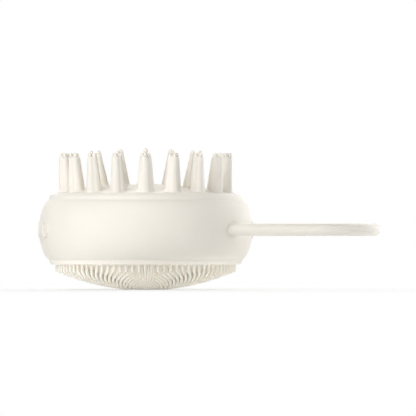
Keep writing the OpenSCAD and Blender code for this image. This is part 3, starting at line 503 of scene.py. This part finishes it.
def bristle_places(bristles):
    """Radius and angle of every bristle: each ring is turned half a step from the next, and has half as many
    bristles once they would stand closer than half their outer spacing."""
    radii, turns = [np.zeros(1)], [np.zeros(1)]
    for ring in range(1, bristles.rings + 1):
        halvings = max(0, math.ceil(math.log2(bristles.rings / (2 * ring))))
        count = max(6, bristles.outer_count >> halvings)
        radii.append(np.full(count, ring * bristles.ring_pitch))
        turns.append(angles(count, (ring % 2) * math.pi / count - math.pi / 2))
    return np.concatenate(radii), np.concatenate(turns)


def bristle_parts(body, bristles):
    """Bristles as round pegs with rounded tips: the same eight-sided rows, from its own tip up."""
    r, turn = bristle_places(bristles)
    low = WAIST_Z - body.height / 2 - bristles.face_rise
    tip = np.maximum(low, tip_height(body, bristles, r))
    root = tip_height(body, bristles, r) + bristles.long + 0.3 * MM
    half = bristles.width / 2
    wide = np.array([0, 0.5, 0.84, 1, 1, 0]) * half
    rise = np.array([0, 0.05, 0.17, 0.42]) * MM
    up = np.concatenate([tip[:, None] + rise, root[:, None], root[:, None]], 1)
    t = angles(8)
    x = (r * np.cos(turn))[:, None, None] + wide[:, None] * np.cos(t)
    y = (r * np.sin(turn))[:, None, None] + wide[:, None] * np.sin(t)
    z = up[:, :, None] + 0 * t
    return [part(np.stack([x, y, z], -1))]


# ---- Padded side ----

SIDE_ROWS = 49
SIDE_COLUMNS = 360
WINDOW_MARGIN = 0.3 * MM
NOTCH_OUT, NOTCH_UP = 5.6 * MM, 2.1 * MM
WEB_GAP = 0.03 * MM
WEB_DEPTHS = (0.04 * MM, 0.05 * MM)


def side_levels(body, row):
    """Height above the waist of a row of the side: half height × sin(angle), with evenly spaced angles."""
    reach = math.asin((body.height / 2 - body.lip_height) / side_half_height(body))
    angle = reach * (2 * np.asarray(row) / (SIDE_ROWS - 1) - 1)
    return side_half_height(body) * np.sin(angle)


def on_side(body, turn, lateral, height, layer, depth):
    """Point of the side, seen from the angle turn: along = sqrt((radius - layer)² - lateral²) - depth."""
    along = np.sqrt((side_radius(body, height) - layer) ** 2 - lateral**2) - depth
    x = along * math.cos(turn) - lateral * math.sin(turn)
    y = along * math.sin(turn) + lateral * math.cos(turn)
    return np.stack([x, y, WAIST_Z + height], -1)


# Edges of the openings: how far out from the outline and how deep each ring of points lies, in millimetres
PLAIN_EDGE = ((0.28, 0.0), (0.12, 0.03), (0.03, 0.1), (0.0, 0.26))
SWOLLEN_EDGE = ((0.9, 0.0), (0.6, -0.03), (0.38, -0.1), (0.2, -0.14), (0.08, -0.13), (0.0, -0.07))
SOFT_EDGE = ((0.5, 0.0), (0.3, 0.02), (0.14, 0.07), (0.04, 0.15), (0.0, 0.24))


class Window:
    """Opening through the side: its place, the block of the grid that it takes, and its outline."""

    def __init__(self, turn, centre, columns, half_rows, outline, edge=PLAIN_EDGE, web=None):
        self.turn, self.centre, self.columns = turn, centre, columns
        self.rows = (SIDE_ROWS - 1) // 2 - half_rows, (SIDE_ROWS - 1) // 2 + half_rows
        self.outline, self.edge, self.web = outline, edge, web

    def border(self):
        """Grid columns and rows round the block, counter-clockwise seen from outside."""
        c0, c1 = self.columns
        r0, r1 = self.rows
        across, up = np.arange(c0, c1), np.arange(r0, r1)
        columns = [across, np.full(len(up), c1), across[::-1] + 1, np.full(len(up), c0)]
        rows = [np.full(len(across), r0), up, np.full(len(across), r1), up[::-1] + 1]
        return np.concatenate(columns), np.concatenate(rows)

    def part(self, body):
        """Rings from the block's border in to the opening, over its edge, through the wall and back out."""
        columns, rows = self.border()
        height = side_levels(body, rows)
        borders = []
        for layer in (0.0, body.sleeve):
            lateral = (side_radius(body, height) - layer) * np.sin(np.radians(columns) - self.turn)
            borders.append(np.stack([lateral - self.centre, height], -1))
        psi = np.arctan2(borders[0][:, 1], borders[0][:, 0])
        unit = np.stack([np.cos(psi), np.sin(psi)], -1)
        edge = self.outline(psi)[:, None]
        halfway = (borders[0] + unit * (edge + self.edge[0][0] * MM)) / 2
        flats = [(borders[0], 0, 0), (halfway, 0, 0)]
        flats += [(unit * (edge + grow * MM), 0, depth * MM) for grow, depth in self.edge]
        inner = unit * edge
        if self.web is not None:
            flats += [(inner, 0, WEB_DEPTHS[0]), (unit * self.web, 0, WEB_DEPTHS[1])]
            inner = unit * self.web
        flats += [(flat, body.sleeve, 0) for flat in (inner, (inner + borders[1]) / 2, borders[1])]
        rings = [
            on_side(body, self.turn, self.centre + flat[:, 0], flat[:, 1], layer, depth)
            for flat, layer, depth in flats
        ]
        return part(np.stack(rings))


def circle(radius):
    return lambda psi: np.full(len(psi), radius)


def side_windows(keys, loop):
    """The side's openings: the flap's with its hinge notch, three round ones for keys, two for the loop."""

    def flap_outline(psi):
        out = NOTCH_OUT / np.clip(np.cos(psi), 1e-6, None)
        up = NOTCH_UP / np.clip(np.abs(np.sin(psi)), 1e-6, None)
        notch = np.where(np.cos(psi) > 0, np.minimum(out, up), 0)
        return np.maximum(keys.flap_width / 2 + WINDOW_MARGIN, notch)

    windows = [Window(0.0, 0.0, (-7, 10), 8, flap_outline)]
    hole, web = circle(keys.width / 2 + WINDOW_MARGIN), keys.width / 2 + WEB_GAP
    for step in (-1, 0, 1):
        turn = math.pi + step * keys.step
        column = round(math.degrees(turn))
        windows.append(Window(turn, 0.0, (column - 7, column + 7), 8, hole, SWOLLEN_EDGE, web))
    strand = circle(loop.width / 2 + loop.recess)
    for side, columns in ((1, (27, 43)), (-1, (-43, -27))):
        windows.append(Window(0.0, side * loop.span / 2, columns, 7, strand, SOFT_EDGE))
    return windows


def side_parts(body, windows):
    """Closed wall: the outer side up and the inner side down, less the windows' blocks, plus their rings."""
    height = side_levels(body, np.arange(SIDE_ROWS))
    radius = side_radius(body, height)
    outer = np.stack([radius, WAIST_Z + height], -1)
    inner = np.stack([radius - body.sleeve, WAIST_Z + height], -1)[::-1]
    points, quads = part(revolve(np.concatenate([outer, inner]), SIDE_COLUMNS), wrap_rows=True)
    keep = np.ones((2 * SIDE_ROWS, SIDE_COLUMNS), bool)
    for window in windows:
        columns = np.arange(*window.columns) % SIDE_COLUMNS
        low, high = window.rows
        last = 2 * SIDE_ROWS - 1
        keep[low:high, columns] = False
        keep[last - high : last - low, columns] = False
    return [(points, quads[keep.ravel()])] + [w.part(body) for w in windows]


# ---- Hanging loop ----


def loop_parts(body, loop):
    """One strand, half a circle and the other strand back, with a wider head at each end."""
    half_span, r = loop.span / 2, loop.width / 2
    bend_x = body.diameter / 2 + loop.reach - half_span - r
    root, end = loop.root, loop.root + loop.head_height
    head_r, edge, step = loop.head_width / 2, 0.3 * MM, 0.1 * MM
    head_x = [root, root, root + step, root + edge]
    head_x += [end - edge, end - 0.01 * MM, end, end + 0.01 * MM, end + 0.4 * MM]
    head_radii = [0, head_r - edge, head_r - step, head_r, head_r, head_r - step, head_r - edge, r + step, r]
    strand_x = np.concatenate([head_x, np.linspace(end + 2 * MM, bend_x, 16)[:-1]])
    strand_radii = np.concatenate([head_radii, np.full(15, r)])
    turn = np.linspace(-math.pi / 2, math.pi / 2, 65)
    outwards = np.stack([np.cos(turn), np.sin(turn)], -1)
    near = np.stack([strand_x, np.full(len(strand_x), -half_span)], -1)
    path = np.concatenate([near, [bend_x, 0] + half_span * outwards, near[::-1] * [1, -1]])
    level = np.tile([0.0, 1.0], (len(near), 1))
    side = np.concatenate([level, -outwards, -level])
    radii = np.concatenate([strand_radii, np.full(len(turn), r), strand_radii[::-1]])
    return [part(planar_tube(path, side, radii, 32) + [0, 0, WAIST_Z])]


def collar_parts(body, loop):
    """Soft collars that close the recess round each strand, just below the side's edge."""
    t = angles(48)
    inner, outer = loop.width / 2 + 0.01 * MM, loop.width / 2 + loop.recess - 0.01 * MM
    front, back = (0.0, 0.3 * MM), (body.sleeve + 0.05 * MM, 0.0)
    parts = []
    for centre in (loop.span / 2, -loop.span / 2):
        rings = [
            on_side(body, 0.0, centre + radius * np.cos(t), radius * np.sin(t), *place)
            for radius, place in ((outer, front), (inner, front), (inner, back), (outer, back))
        ]
        parts.append(part(np.stack(rings), wrap_rows=True))
    return parts


# ---- Keys and flap ----


def facing_out(grid, turn):
    """Puts a shape drawn looking down onto the side: its up points outwards at angle turn, its -x upwards."""
    across, back, out = grid[..., 1], grid[..., 0], grid[..., 2]
    x = out * math.cos(turn) - across * math.sin(turn)
    y = out * math.sin(turn) + across * math.cos(turn)
    return np.stack([x, y, WAIST_Z - back], -1)


def key_profile(body, keys):
    """Outline of a key from back to face: flange, stem, raised ring and shallow dish."""
    r = keys.width / 2
    top = body.diameter / 2 + keys.proud
    flange_out, flange_back = 40.5 * MM, 39.5 * MM
    wall = 1 * MM
    return rounded(
        [
            (0, flange_back, 0),
            (r + wall, flange_back, 0.15 * MM),
            (r + wall, flange_out, 0.15 * MM),
            (r, flange_out, 0.1 * MM),
            (r, top, 0.45 * MM),
            (r - keys.rim * 0.75, top, 0.3 * MM),
            (r - keys.rim * 1.2, top - keys.dish, 0.35 * MM),
            (r * 0.3, top - keys.dish - 0.03 * MM, 0),
            (0, top - keys.dish - 0.03 * MM, 0),
        ]
    )


def raised_line(keys, path):
    """Line of a symbol's width with round ends, along a path."""
    path, radii = with_round_ends(path, keys.stroke / 2)
    along = np.gradient(path, axis=0)
    along /= np.linalg.norm(along, axis=1, keepdims=True)
    return planar_tube(path, np.stack([-along[:, 1], along[:, 0]], -1), radii, 14, 1.1)


def bar(keys, size, turn=0.0, shift=0.0):
    """Raised bar with round ends: level at a turn of 0, upright at a quarter turn."""
    t = np.linspace(-1, 1, 8)[:, None] * (size - keys.stroke) / 2
    return raised_line(keys, t * [math.sin(turn), math.cos(turn)] + [shift, 0.0])


def open_ring(keys):
    """Raised ring with a gap of 80 degrees at its top."""
    t = np.radians(np.linspace(40, 320, 40)) + math.pi
    return raised_line(keys, (keys.symbol - keys.stroke) / 2 * np.stack([np.cos(t), np.sin(t)], -1))


def flap_parts(body, keys):
    """Flap: a rimmed disc with a short stopper, a hinge knuckle beside it and a web between them."""
    face = body.diameter / 2 + keys.flap_proud
    back = face - keys.flap_thickness
    r, dish, e = keys.flap_width / 2, 0.2 * MM, 0.15 * MM
    disc = rounded(
        [
            (0, back - 0.6 * MM, 0),
            (0.8 * MM, back - 0.6 * MM, e),
            (1 * MM, back, 0.05 * MM),
            (r, back, e),
            (r, face, 0.35 * MM),
            (r - 0.8 * MM, face, 0.2 * MM),
            (r - 1.05 * MM, face - dish, 0.2 * MM),
            (0, face - dish, 0),
        ]
    )
    hinge_x, hinge_y = body.diameter / 2 - 0.45 * MM, r + 1 * MM
    knuckle_r, pin_r, half = 0.6 * MM, 0.36 * MM, 1.8 * MM
    ring = np.array([[knuckle_r, -half], [knuckle_r, half], [pin_r, half], [pin_r, -half]])
    knuckle = revolve(ring, 32) + [hinge_x, hinge_y, WAIST_Z]
    web = soft_block(
        (face - dish - 0.6 * MM, r - 0.6 * MM, WAIST_Z - half),
        (face - dish, hinge_y - 0.1 * MM, WAIST_Z + half),
        0.15 * MM,
    )
    return [part(facing_out(revolve(disc, 64), 0.0)), part(knuckle, wrap_rows=True), part(web)]


# ---- Finishes ----

FINE, COARSE = 0.01 * MM, 0.06 * MM
SKIN_DEPTH, BRISTLE_DEPTH = 0.12, 0.25
CASING_SHADE = 0.96
COLOUR, NUMBER = "NodeSocketColor", "NodeSocketFloat"
PATTERN_SOCKETS = (
    ("INPUT", COLOUR, ("Colour", "Second colour")),
    ("INPUT", NUMBER, ("Scale", "Roughness", "Roughness spread")),
    ("OUTPUT", COLOUR, ("Colour",)),
    ("OUTPUT", NUMBER, ("Roughness", "Height")),
)


def set_inputs(tree, node, inputs):
    """Links a node's inputs to the sockets that are given for them, and sets the others that are given."""
    for label, value in inputs.items():
        if isinstance(value, bpy.types.NodeSocket):
            tree.links.new(value, node.inputs[label])
        else:
            node.inputs[label].default_value = value
    return node


def add_node(tree, kind, inputs, **settings):
    node = tree.nodes.new(f"ShaderNode{kind}")
    for label, value in settings.items():
        setattr(node, label, value)
    return set_inputs(tree, node, inputs)


def pattern_group(name, kind, inputs, stretch=(1.0, 1.0, 1.0), drift=None, **settings):
    """Node group: a texture gives the height, and it or a slower drift gives the factor for the mix of two
    tones and for the roughness, which is roughness + spread × (factor - 0.5)."""
    tree = bpy.data.node_groups.new(name, "ShaderNodeTree")
    for end, socket, labels in PATTERN_SOCKETS:
        for label in labels:
            tree.interface.new_socket(label, in_out=end, socket_type=socket)
    given, result = tree.nodes.new("NodeGroupInput").outputs, tree.nodes.new("NodeGroupOutput")
    place = add_node(tree, "TexCoord", {}).outputs["Object"]
    place = add_node(tree, "Mapping", {"Vector": place, "Scale": stretch}).outputs["Vector"]
    texture = {"Vector": place, "Scale": given["Scale"], **inputs}
    height = factor = add_node(tree, kind, texture, **settings).outputs["Fac"]
    if drift is not None:
        factor = add_node(tree, "TexNoise", {"Vector": place, **drift}).outputs["Fac"]
    tones = {"Factor": factor, 6: given["Colour"], 7: given["Second colour"]}
    mix = add_node(tree, "Mix", tones, data_type="RGBA")
    centred = add_node(tree, "Math", {0: factor, 1: 0.5}, operation="SUBTRACT")
    spread = {0: centred.outputs[0], 1: given["Roughness spread"], 2: given["Roughness"]}
    rough = add_node(tree, "Math", spread, operation="MULTIPLY_ADD")
    set_inputs(tree, result, {"Colour": mix.outputs[2], "Roughness": rough.outputs[0], "Height": height})


def finish_material(name, group, tone, second, scale, rough, spread=0.1, relief=FINE, shader=None):
    """Material whose colour, roughness and height come from a shared group; other values are the shader's."""
    material = bpy.data.materials.new(name)
    material.use_nodes = True
    tree = material.node_tree
    values = {"Colour": (*tone, 1), "Second colour": (*second, 1), "Scale": scale}
    values.update({"Roughness": rough, "Roughness spread": spread})
    pattern = add_node(tree, "Group", values, node_tree=bpy.data.node_groups[group]).outputs
    bump = add_node(tree, "Bump", {"Distance": relief, "Height": pattern["Height"]})
    inputs = {"Base Color": pattern["Colour"], "Roughness": pattern["Roughness"], **(shader or {})}
    set_inputs(tree, tree.nodes["Principled BSDF"], {**inputs, "Normal": bump.outputs["Normal"]})


def silicone(name, tone, shade, depth=SKIN_DEPTH):
    """Soft silicone: a satin skin that lets a little light in, by the share that is given as its depth."""
    shader = {
        "Subsurface Weight": depth,
        "Subsurface Radius": (1.0, 0.75, 0.5),
        "Subsurface Scale": 1.2 * MM,
        "IOR": 1.41,
        "Specular IOR Level": 0.3,
    }
    finish_material(name, "Moulded skin", tone, shade, 900, 0.62, 0.08, 0.006 * MM, shader)


MOULDED, TURNED, DRAWN = "Moulded skin", "Turned metal", "Drawn metal"
BANDED, TRACKED = "Even bands", "Board tracks"
METAL, WIRE = {"Metallic": 1.0}, {"Metallic": 0.9}
LACQUER, FILM = {"Coat Weight": 0.4}, {"Coat Weight": 0.3}
# Finishes inside: pattern, two tones, scale, roughness, its spread, relief and shader values
INNER_FINISHES = {
    "Seal rubber": (MOULDED, (0.03, 0.03, 0.033), (0.045, 0.045, 0.047), 700, 0.7, 0.1, COARSE),
    "Steel": (TURNED, (0.62, 0.62, 0.63), (0.5, 0.5, 0.52), 900, 0.28, 0.15, FINE, METAL),
    "Motor steel": (DRAWN, (0.55, 0.56, 0.57), (0.42, 0.42, 0.44), 500, 0.35, 0.2, FINE, METAL),
    "Magnet ferrite": (MOULDED, (0.07, 0.07, 0.075), (0.1, 0.1, 0.1), 1200, 0.6, 0.15, COARSE),
    "Black plastic": (MOULDED, (0.02, 0.02, 0.022), (0.03, 0.03, 0.032), 1400, 0.4),
    "Bronze": (TURNED, (0.62, 0.42, 0.2), (0.5, 0.32, 0.14), 900, 0.35, 0.15, FINE, METAL),
    "Copper winding": (BANDED, (0.7, 0.33, 0.16), (0.35, 0.13, 0.06), 900, 0.32, 0.15, COARSE, WIRE),
    "Switch metal": (DRAWN, (0.6, 0.6, 0.6), (0.48, 0.48, 0.5), 1100, 0.3, 0.15, FINE, METAL),
    "Board green": (TRACKED, (0.015, 0.11, 0.05), (0.03, 0.19, 0.08), 260, 0.3, 0.1, FINE, LACQUER),
    "Ribbon film": (BANDED, (0.6, 0.3, 0.06), (0.7, 0.42, 0.12), 800, 0.3),
    "Chip black": (MOULDED, (0.018, 0.018, 0.02), (0.03, 0.03, 0.03), 1800, 0.5),
    "Plug plastic": (MOULDED, (0.75, 0.73, 0.66), (0.7, 0.68, 0.6), 1200, 0.45),
    "Cell wrap": (MOULDED, (0.03, 0.16, 0.32), (0.035, 0.19, 0.36), 300, 0.22, 0.08, FINE, FILM),
    "Foam": (MOULDED, (0.06, 0.06, 0.062), (0.09, 0.09, 0.09), 1600, 0.95, 0.05, 0.15 * MM),
    "Red lead": (MOULDED, (0.45, 0.02, 0.015), (0.38, 0.015, 0.01), 700, 0.4),
    "Blue lead": (MOULDED, (0.015, 0.06, 0.35), (0.012, 0.05, 0.28), 700, 0.4),
    "Black lead": (MOULDED, (0.02, 0.02, 0.022), (0.03, 0.03, 0.03), 700, 0.4),
}
SCREWS = ("case_screws", "chassis_screws", "clamp_screws", "board_screws")
INNER_NODES = {
    "Casing plastic": ("upper_shell", "lower_shell", "chassis", "motor_clamp", "battery_clamp"),
    "Seal rubber": ("seal_ring", "socket_seal", "motor_cushion"),
    "Steel": ("loop_washers", "cover_pin", "motor_shaft", *SCREWS),
    "Motor steel": ("motor_can", "eccentric_weight"),
    "Magnet ferrite": ("motor_magnets",),
    "Black plastic": ("motor_end_cap", "charge_socket", "power_plunger", "minus_plunger", "plus_plunger"),
    "Bronze": ("motor_bush",),
    "Copper winding": ("motor_armature",),
    "Switch metal": ("key_switches",),
    "Board green": ("circuit_board", "key_board"),
    "Ribbon film": ("key_ribbon",),
    "Chip black": ("board_parts",),
    "Plug plastic": ("lead_plugs",),
    "Cell wrap": ("battery_cell",),
    "Foam": ("battery_pad",),
    "Red lead": ("battery_lead",),
    "Blue lead": ("motor_lead",),
    "Black lead": ("socket_lead",),
}

# ---- Stage ----

VIEW_CENTRE = (26.3 * MM, 34.4 * MM)
VIEW_WIDTH = 175.8 * MM
LENS, SENSOR = 1000.0, 36.0
FLOOR_RADIUS = 0.5
LAMPS = {
    "upper_left": ((-0.5, -0.6, 0.5), (0.7, 0.7)),
    "top": ((-0.1, -0.45, 0.7), (0.8, 0.4)),
    "front": ((-0.15, -0.8, 0.05), (0.6, 0.15)),
    "lower_left": ((-0.6, -0.5, 0.08), (0.3, 0.15)),
    "right": ((0.8, -0.1, 0.1), (0.4, 0.5)),
    "right_rim": ((0.6, 0.45, 0.15), (0.3, 0.5)),
    "back": ((0.0, 0.6, 0.5), (0.8, 0.3)),
    "under": ((0.0, 0.0, 0.0002), (0.08, 0.08)),
}


def build_world():
    """Surround that is white for camera, glossy and transmission rays, and gives no light of its own."""
    world = bpy.data.worlds.new("Studio")
    bpy.context.scene.world = world
    world.use_nodes = True
    tree = world.node_tree
    kinds = add_node(tree, "LightPath", {}).outputs
    seen = kinds["Is Camera Ray"]
    for label in ("Is Glossy Ray", "Is Transmission Ray"):
        seen = add_node(tree, "Math", {0: seen, 1: kinds[label]}, operation="MAXIMUM").outputs[0]
    set_inputs(tree, tree.nodes["Background"], {"Color": (1, 1, 1, 1), "Strength": seen})


def build_floor(tone):
    """Round pale floor, level, whose far edge melts into the white surround."""
    material = bpy.data.materials.new("Pale floor")
    material.use_nodes = True
    tree = material.node_tree
    place = add_node(tree, "TexCoord", {}).outputs["Object"]
    grain = add_node(tree, "TexNoise", {"Vector": place, "Scale": 400})
    lift = add_node(tree, "Bump", {"Distance": 0.02 * MM, "Height": grain.outputs["Fac"]})
    finish = {"Base Color": (*tone, 1), "Roughness": 0.9, "Specular IOR Level": 0.1}
    finish["Normal"] = lift.outputs["Normal"]
    surface = set_inputs(tree, tree.nodes["Principled BSDF"], finish)
    # The camera sees the floor's shadows through plain white, which takes over towards the edge
    away = add_node(tree, "VectorMath", {0: place}, operation="LENGTH").outputs["Value"]
    reach = {"Value": away, "From Min": 0.06, "From Max": 0.3, "To Min": 0.55, "To Max": 1.0}
    melt = add_node(tree, "MapRange", reach, interpolation_type="SMOOTHSTEP").outputs["Result"]
    seen = add_node(tree, "LightPath", {}).outputs["Is Camera Ray"]
    hidden = add_node(tree, "Math", {0: melt, 1: seen}, operation="MULTIPLY").outputs[0]
    white = add_node(tree, "Emission", {}).outputs[0]
    both = add_node(tree, "MixShader", {0: hidden, 1: surface.outputs[0], 2: white})
    set_inputs(tree, tree.nodes["Material Output"], {"Surface": both.outputs[0]})
    rings = np.linspace(FLOOR_RADIUS, 0, 8)
    disc = revolve(np.stack([rings, np.zeros(len(rings))], -1), 96)
    solid("floor", [part(disc)], "Pale floor")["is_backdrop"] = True


def aim(thing, place, target):
    thing.location = place
    direction = Vector(target) - Vector(place)
    thing.rotation_euler = direction.to_track_quat("-Z", "Y").to_euler()


# ---- Operators ----


class MASSAGER_OT_finishes(bpy.types.Operator):
    """Make the shared patterns and the finish of every piece"""

    bl_idname = "massager.finishes"
    bl_label = "Finishes"

    def execute(self, context):
        colours = context.scene.massager_colours
        pattern_group(MOULDED, "TexNoise", {"Detail": 4}, drift={"Scale": 60, "Detail": 3})
        pattern_group(TURNED, "TexNoise", {"Detail": 3}, (0.12, 1.0, 1.0))
        pattern_group(DRAWN, "TexNoise", {"Detail": 3}, (1.0, 0.08, 1.0))
        pattern_group(BANDED, "TexWave", {"Distortion": 0.3}, bands_direction="Y")
        pattern_group(TRACKED, "TexBrick", {"Mortar Size": 0.06})
        for name in ("Sleeve silicone", "Prong silicone", "Loop silicone", "Key silicone"):
            silicone(name, colours.silicone, colours.silicone_shade)
        # Painted light: the bristles take the silicone's tones painted paler, which brighten the brush face
        # as more light would
        silicone("Bristle silicone", colours.bristle, colours.bristle_shade_painted_paler, BRISTLE_DEPTH)
        shade = [CASING_SHADE * c for c in colours.shell]
        finish_material("Casing plastic", MOULDED, colours.shell, shade, 1500, 0.42)
        for name, values in INNER_FINISHES.items():
            finish_material(name, *values)
        return {"FINISHED"}


class MASSAGER_OT_inner_parts(bpy.types.Operator):
    """Give every hard and inner part its finish"""

    bl_idname = "massager.inner_parts"
    bl_label = "Inner parts"

    def execute(self, context):
        for finish, nodes in INNER_NODES.items():
            for node in nodes:
                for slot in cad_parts[node].material_slots:
                    slot.material = bpy.data.materials[finish]
        return {"FINISHED"}


class MASSAGER_OT_side(bpy.types.Operator):
    """Build the padded side with its openings"""

    bl_idname = "massager.side"
    bl_label = "Padded side"

    def execute(self, context):
        scene = context.scene
        windows = side_windows(scene.massager_keys, scene.massager_loop)
        parts = side_parts(scene.massager_body, windows)
        make_piece("padded_side", parts, "Sleeve silicone", "case", "side_sleeve")
        return {"FINISHED"}


class MASSAGER_OT_prong_face(bpy.types.Operator):
    """Build the prong face: its pad, its prongs and their nubs"""

    bl_idname = "massager.prong_face"
    bl_label = "Prong face"

    def execute(self, context):
        body, prongs = context.scene.massager_body, context.scene.massager_prongs
        parts = [part(revolve(prong_pad_profile(body, prongs), 180)), *prong_parts(body, prongs)]
        make_piece("prong_face", parts, "Prong silicone", "case", "prong_pad")
        return {"FINISHED"}


class MASSAGER_OT_brush_face(bpy.types.Operator):
    """Build the brush face: its pad and its bristles"""

    bl_idname = "massager.brush_face"
    bl_label = "Brush face"

    def execute(self, context):
        body, bristles = context.scene.massager_body, context.scene.massager_bristles
        parts = [part(revolve(brush_pad_profile(body, bristles), 180)), *bristle_parts(body, bristles)]
        make_piece("brush_face", parts, "Bristle silicone", "case", "brush_pad")
        return {"FINISHED"}


class MASSAGER_OT_loop(bpy.types.Operator):
    """Build the hanging loop and the collars where it enters the side"""

    bl_idname = "massager.loop"
    bl_label = "Hanging loop"

    def execute(self, context):
        body, loop = context.scene.massager_body, context.scene.massager_loop
        look = "Loop silicone"
        make_piece("loop_skin", loop_parts(body, loop), look, "case", "hanging_loop")
        make_piece("loop_collars", collar_parts(body, loop), look, "case", "loop_grommets")
        return {"FINISHED"}


class MASSAGER_OT_keys(bpy.types.Operator):
    """Build the minus, power and plus keys"""

    bl_idname = "massager.keys"
    bl_label = "Keys"

    def execute(self, context):
        body, keys = context.scene.massager_body, context.scene.massager_keys
        face = body.diameter / 2 + keys.proud - keys.dish
        upright = math.pi / 2
        symbols = {
            "minus": (1, [bar(keys, keys.symbol)]),
            "power": (0, [open_ring(keys), bar(keys, keys.symbol * 0.5, upright, -keys.symbol * 0.3)]),
            "plus": (-1, [bar(keys, keys.symbol), bar(keys, keys.symbol, upright)]),
        }
        cap = revolve(key_profile(body, keys), 72)
        for label, (step, marks) in symbols.items():
            turn = math.pi + step * keys.step
            parts = [part(facing_out(cap, turn))]
            parts += [part(facing_out(mark + [0, 0, face], turn)) for mark in marks]
            key = f"{label}_key"
            make_piece(key, parts, "Key silicone", key, f"{label}_button")
        return {"FINISHED"}


class MASSAGER_OT_flap(bpy.types.Operator):
    """Build the flap over the charging hole"""

    bl_idname = "massager.flap"
    bl_label = "Charging flap"

    def execute(self, context):
        parts = flap_parts(context.scene.massager_body, context.scene.massager_keys)
        make_piece("charging_flap", parts, "Key silicone", "cover", "port_cover")
        return {"FINISHED"}


class MASSAGER_OT_stage(bpy.types.Operator):
    """Set up the floor, the soft lamps, the white surround and the camera"""

    bl_idname = "massager.stage"
    bl_label = "Stage"

    def execute(self, context):
        scene = context.scene
        build_floor(scene.massager_colours.floor)
        build_world()
        for label, (place, size) in LAMPS.items():
            lamp = bpy.data.lights.new(f"{label} lamp", "AREA")
            lamp.shape = "RECTANGLE"
            lamp.size, lamp.size_y = size
            lamp.energy = getattr(scene.massager_stage, label)
            holder = new_object(f"{label}_lamp", lamp)
            holder.visible_camera = False
            aim(holder, place, (0, 0, WAIST_Z))
        camera = new_object("camera", bpy.data.cameras.new("camera"))
        camera.data.lens, camera.data.sensor_width = LENS, SENSOR
        across, up = VIEW_CENTRE
        aim(camera, (across, -VIEW_WIDTH * LENS / SENSOR, up), (across, 0, up))
        scene.camera = camera
        scene.view_settings.view_transform = "Standard"
        return {"FINISHED"}


class MASSAGER_PT_panel(bpy.types.Panel):
    """Lists the massager's pieces in the order in which they are built"""

    bl_idname = "MASSAGER_PT_panel"
    bl_label = "Scalp massager"
    bl_space_type = "VIEW_3D"
    bl_region_type = "UI"
    bl_category = "Massager"

    def draw(self, context):
        for operator in OPERATORS:
            self.layout.operator(operator.bl_idname)


GROUPS = {
    "massager_body": BodySizes,
    "massager_prongs": ProngSizes,
    "massager_bristles": BristleSizes,
    "massager_loop": LoopSizes,
    "massager_keys": KeySizes,
    "massager_colours": Colours,
    "massager_stage": StageValues,
}
OPERATORS = (
    MASSAGER_OT_finishes,
    MASSAGER_OT_inner_parts,
    MASSAGER_OT_side,
    MASSAGER_OT_prong_face,
    MASSAGER_OT_brush_face,
    MASSAGER_OT_loop,
    MASSAGER_OT_keys,
    MASSAGER_OT_flap,
    MASSAGER_OT_stage,
)


def register():
    for cls in (*GROUPS.values(), *OPERATORS, MASSAGER_PT_panel):
        bpy.utils.register_class(cls)
    for name, group in GROUPS.items():
        setattr(bpy.types.Scene, name, PointerProperty(type=group))


def unregister():
    for name in GROUPS:
        delattr(bpy.types.Scene, name)
    for cls in reversed((*GROUPS.values(), *OPERATORS, MASSAGER_PT_panel)):
        bpy.utils.unregister_class(cls)


def main():
    register()
    for operator in OPERATORS:
        getattr(bpy.ops.massager, operator.bl_idname.split(".")[1])()
    boxes = {"cad": cad_box, "visual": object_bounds()}
    {name: [list(low), list(high)] for name, (low, high) in boxes.items()}


if __name__ == "__main__":
    main()
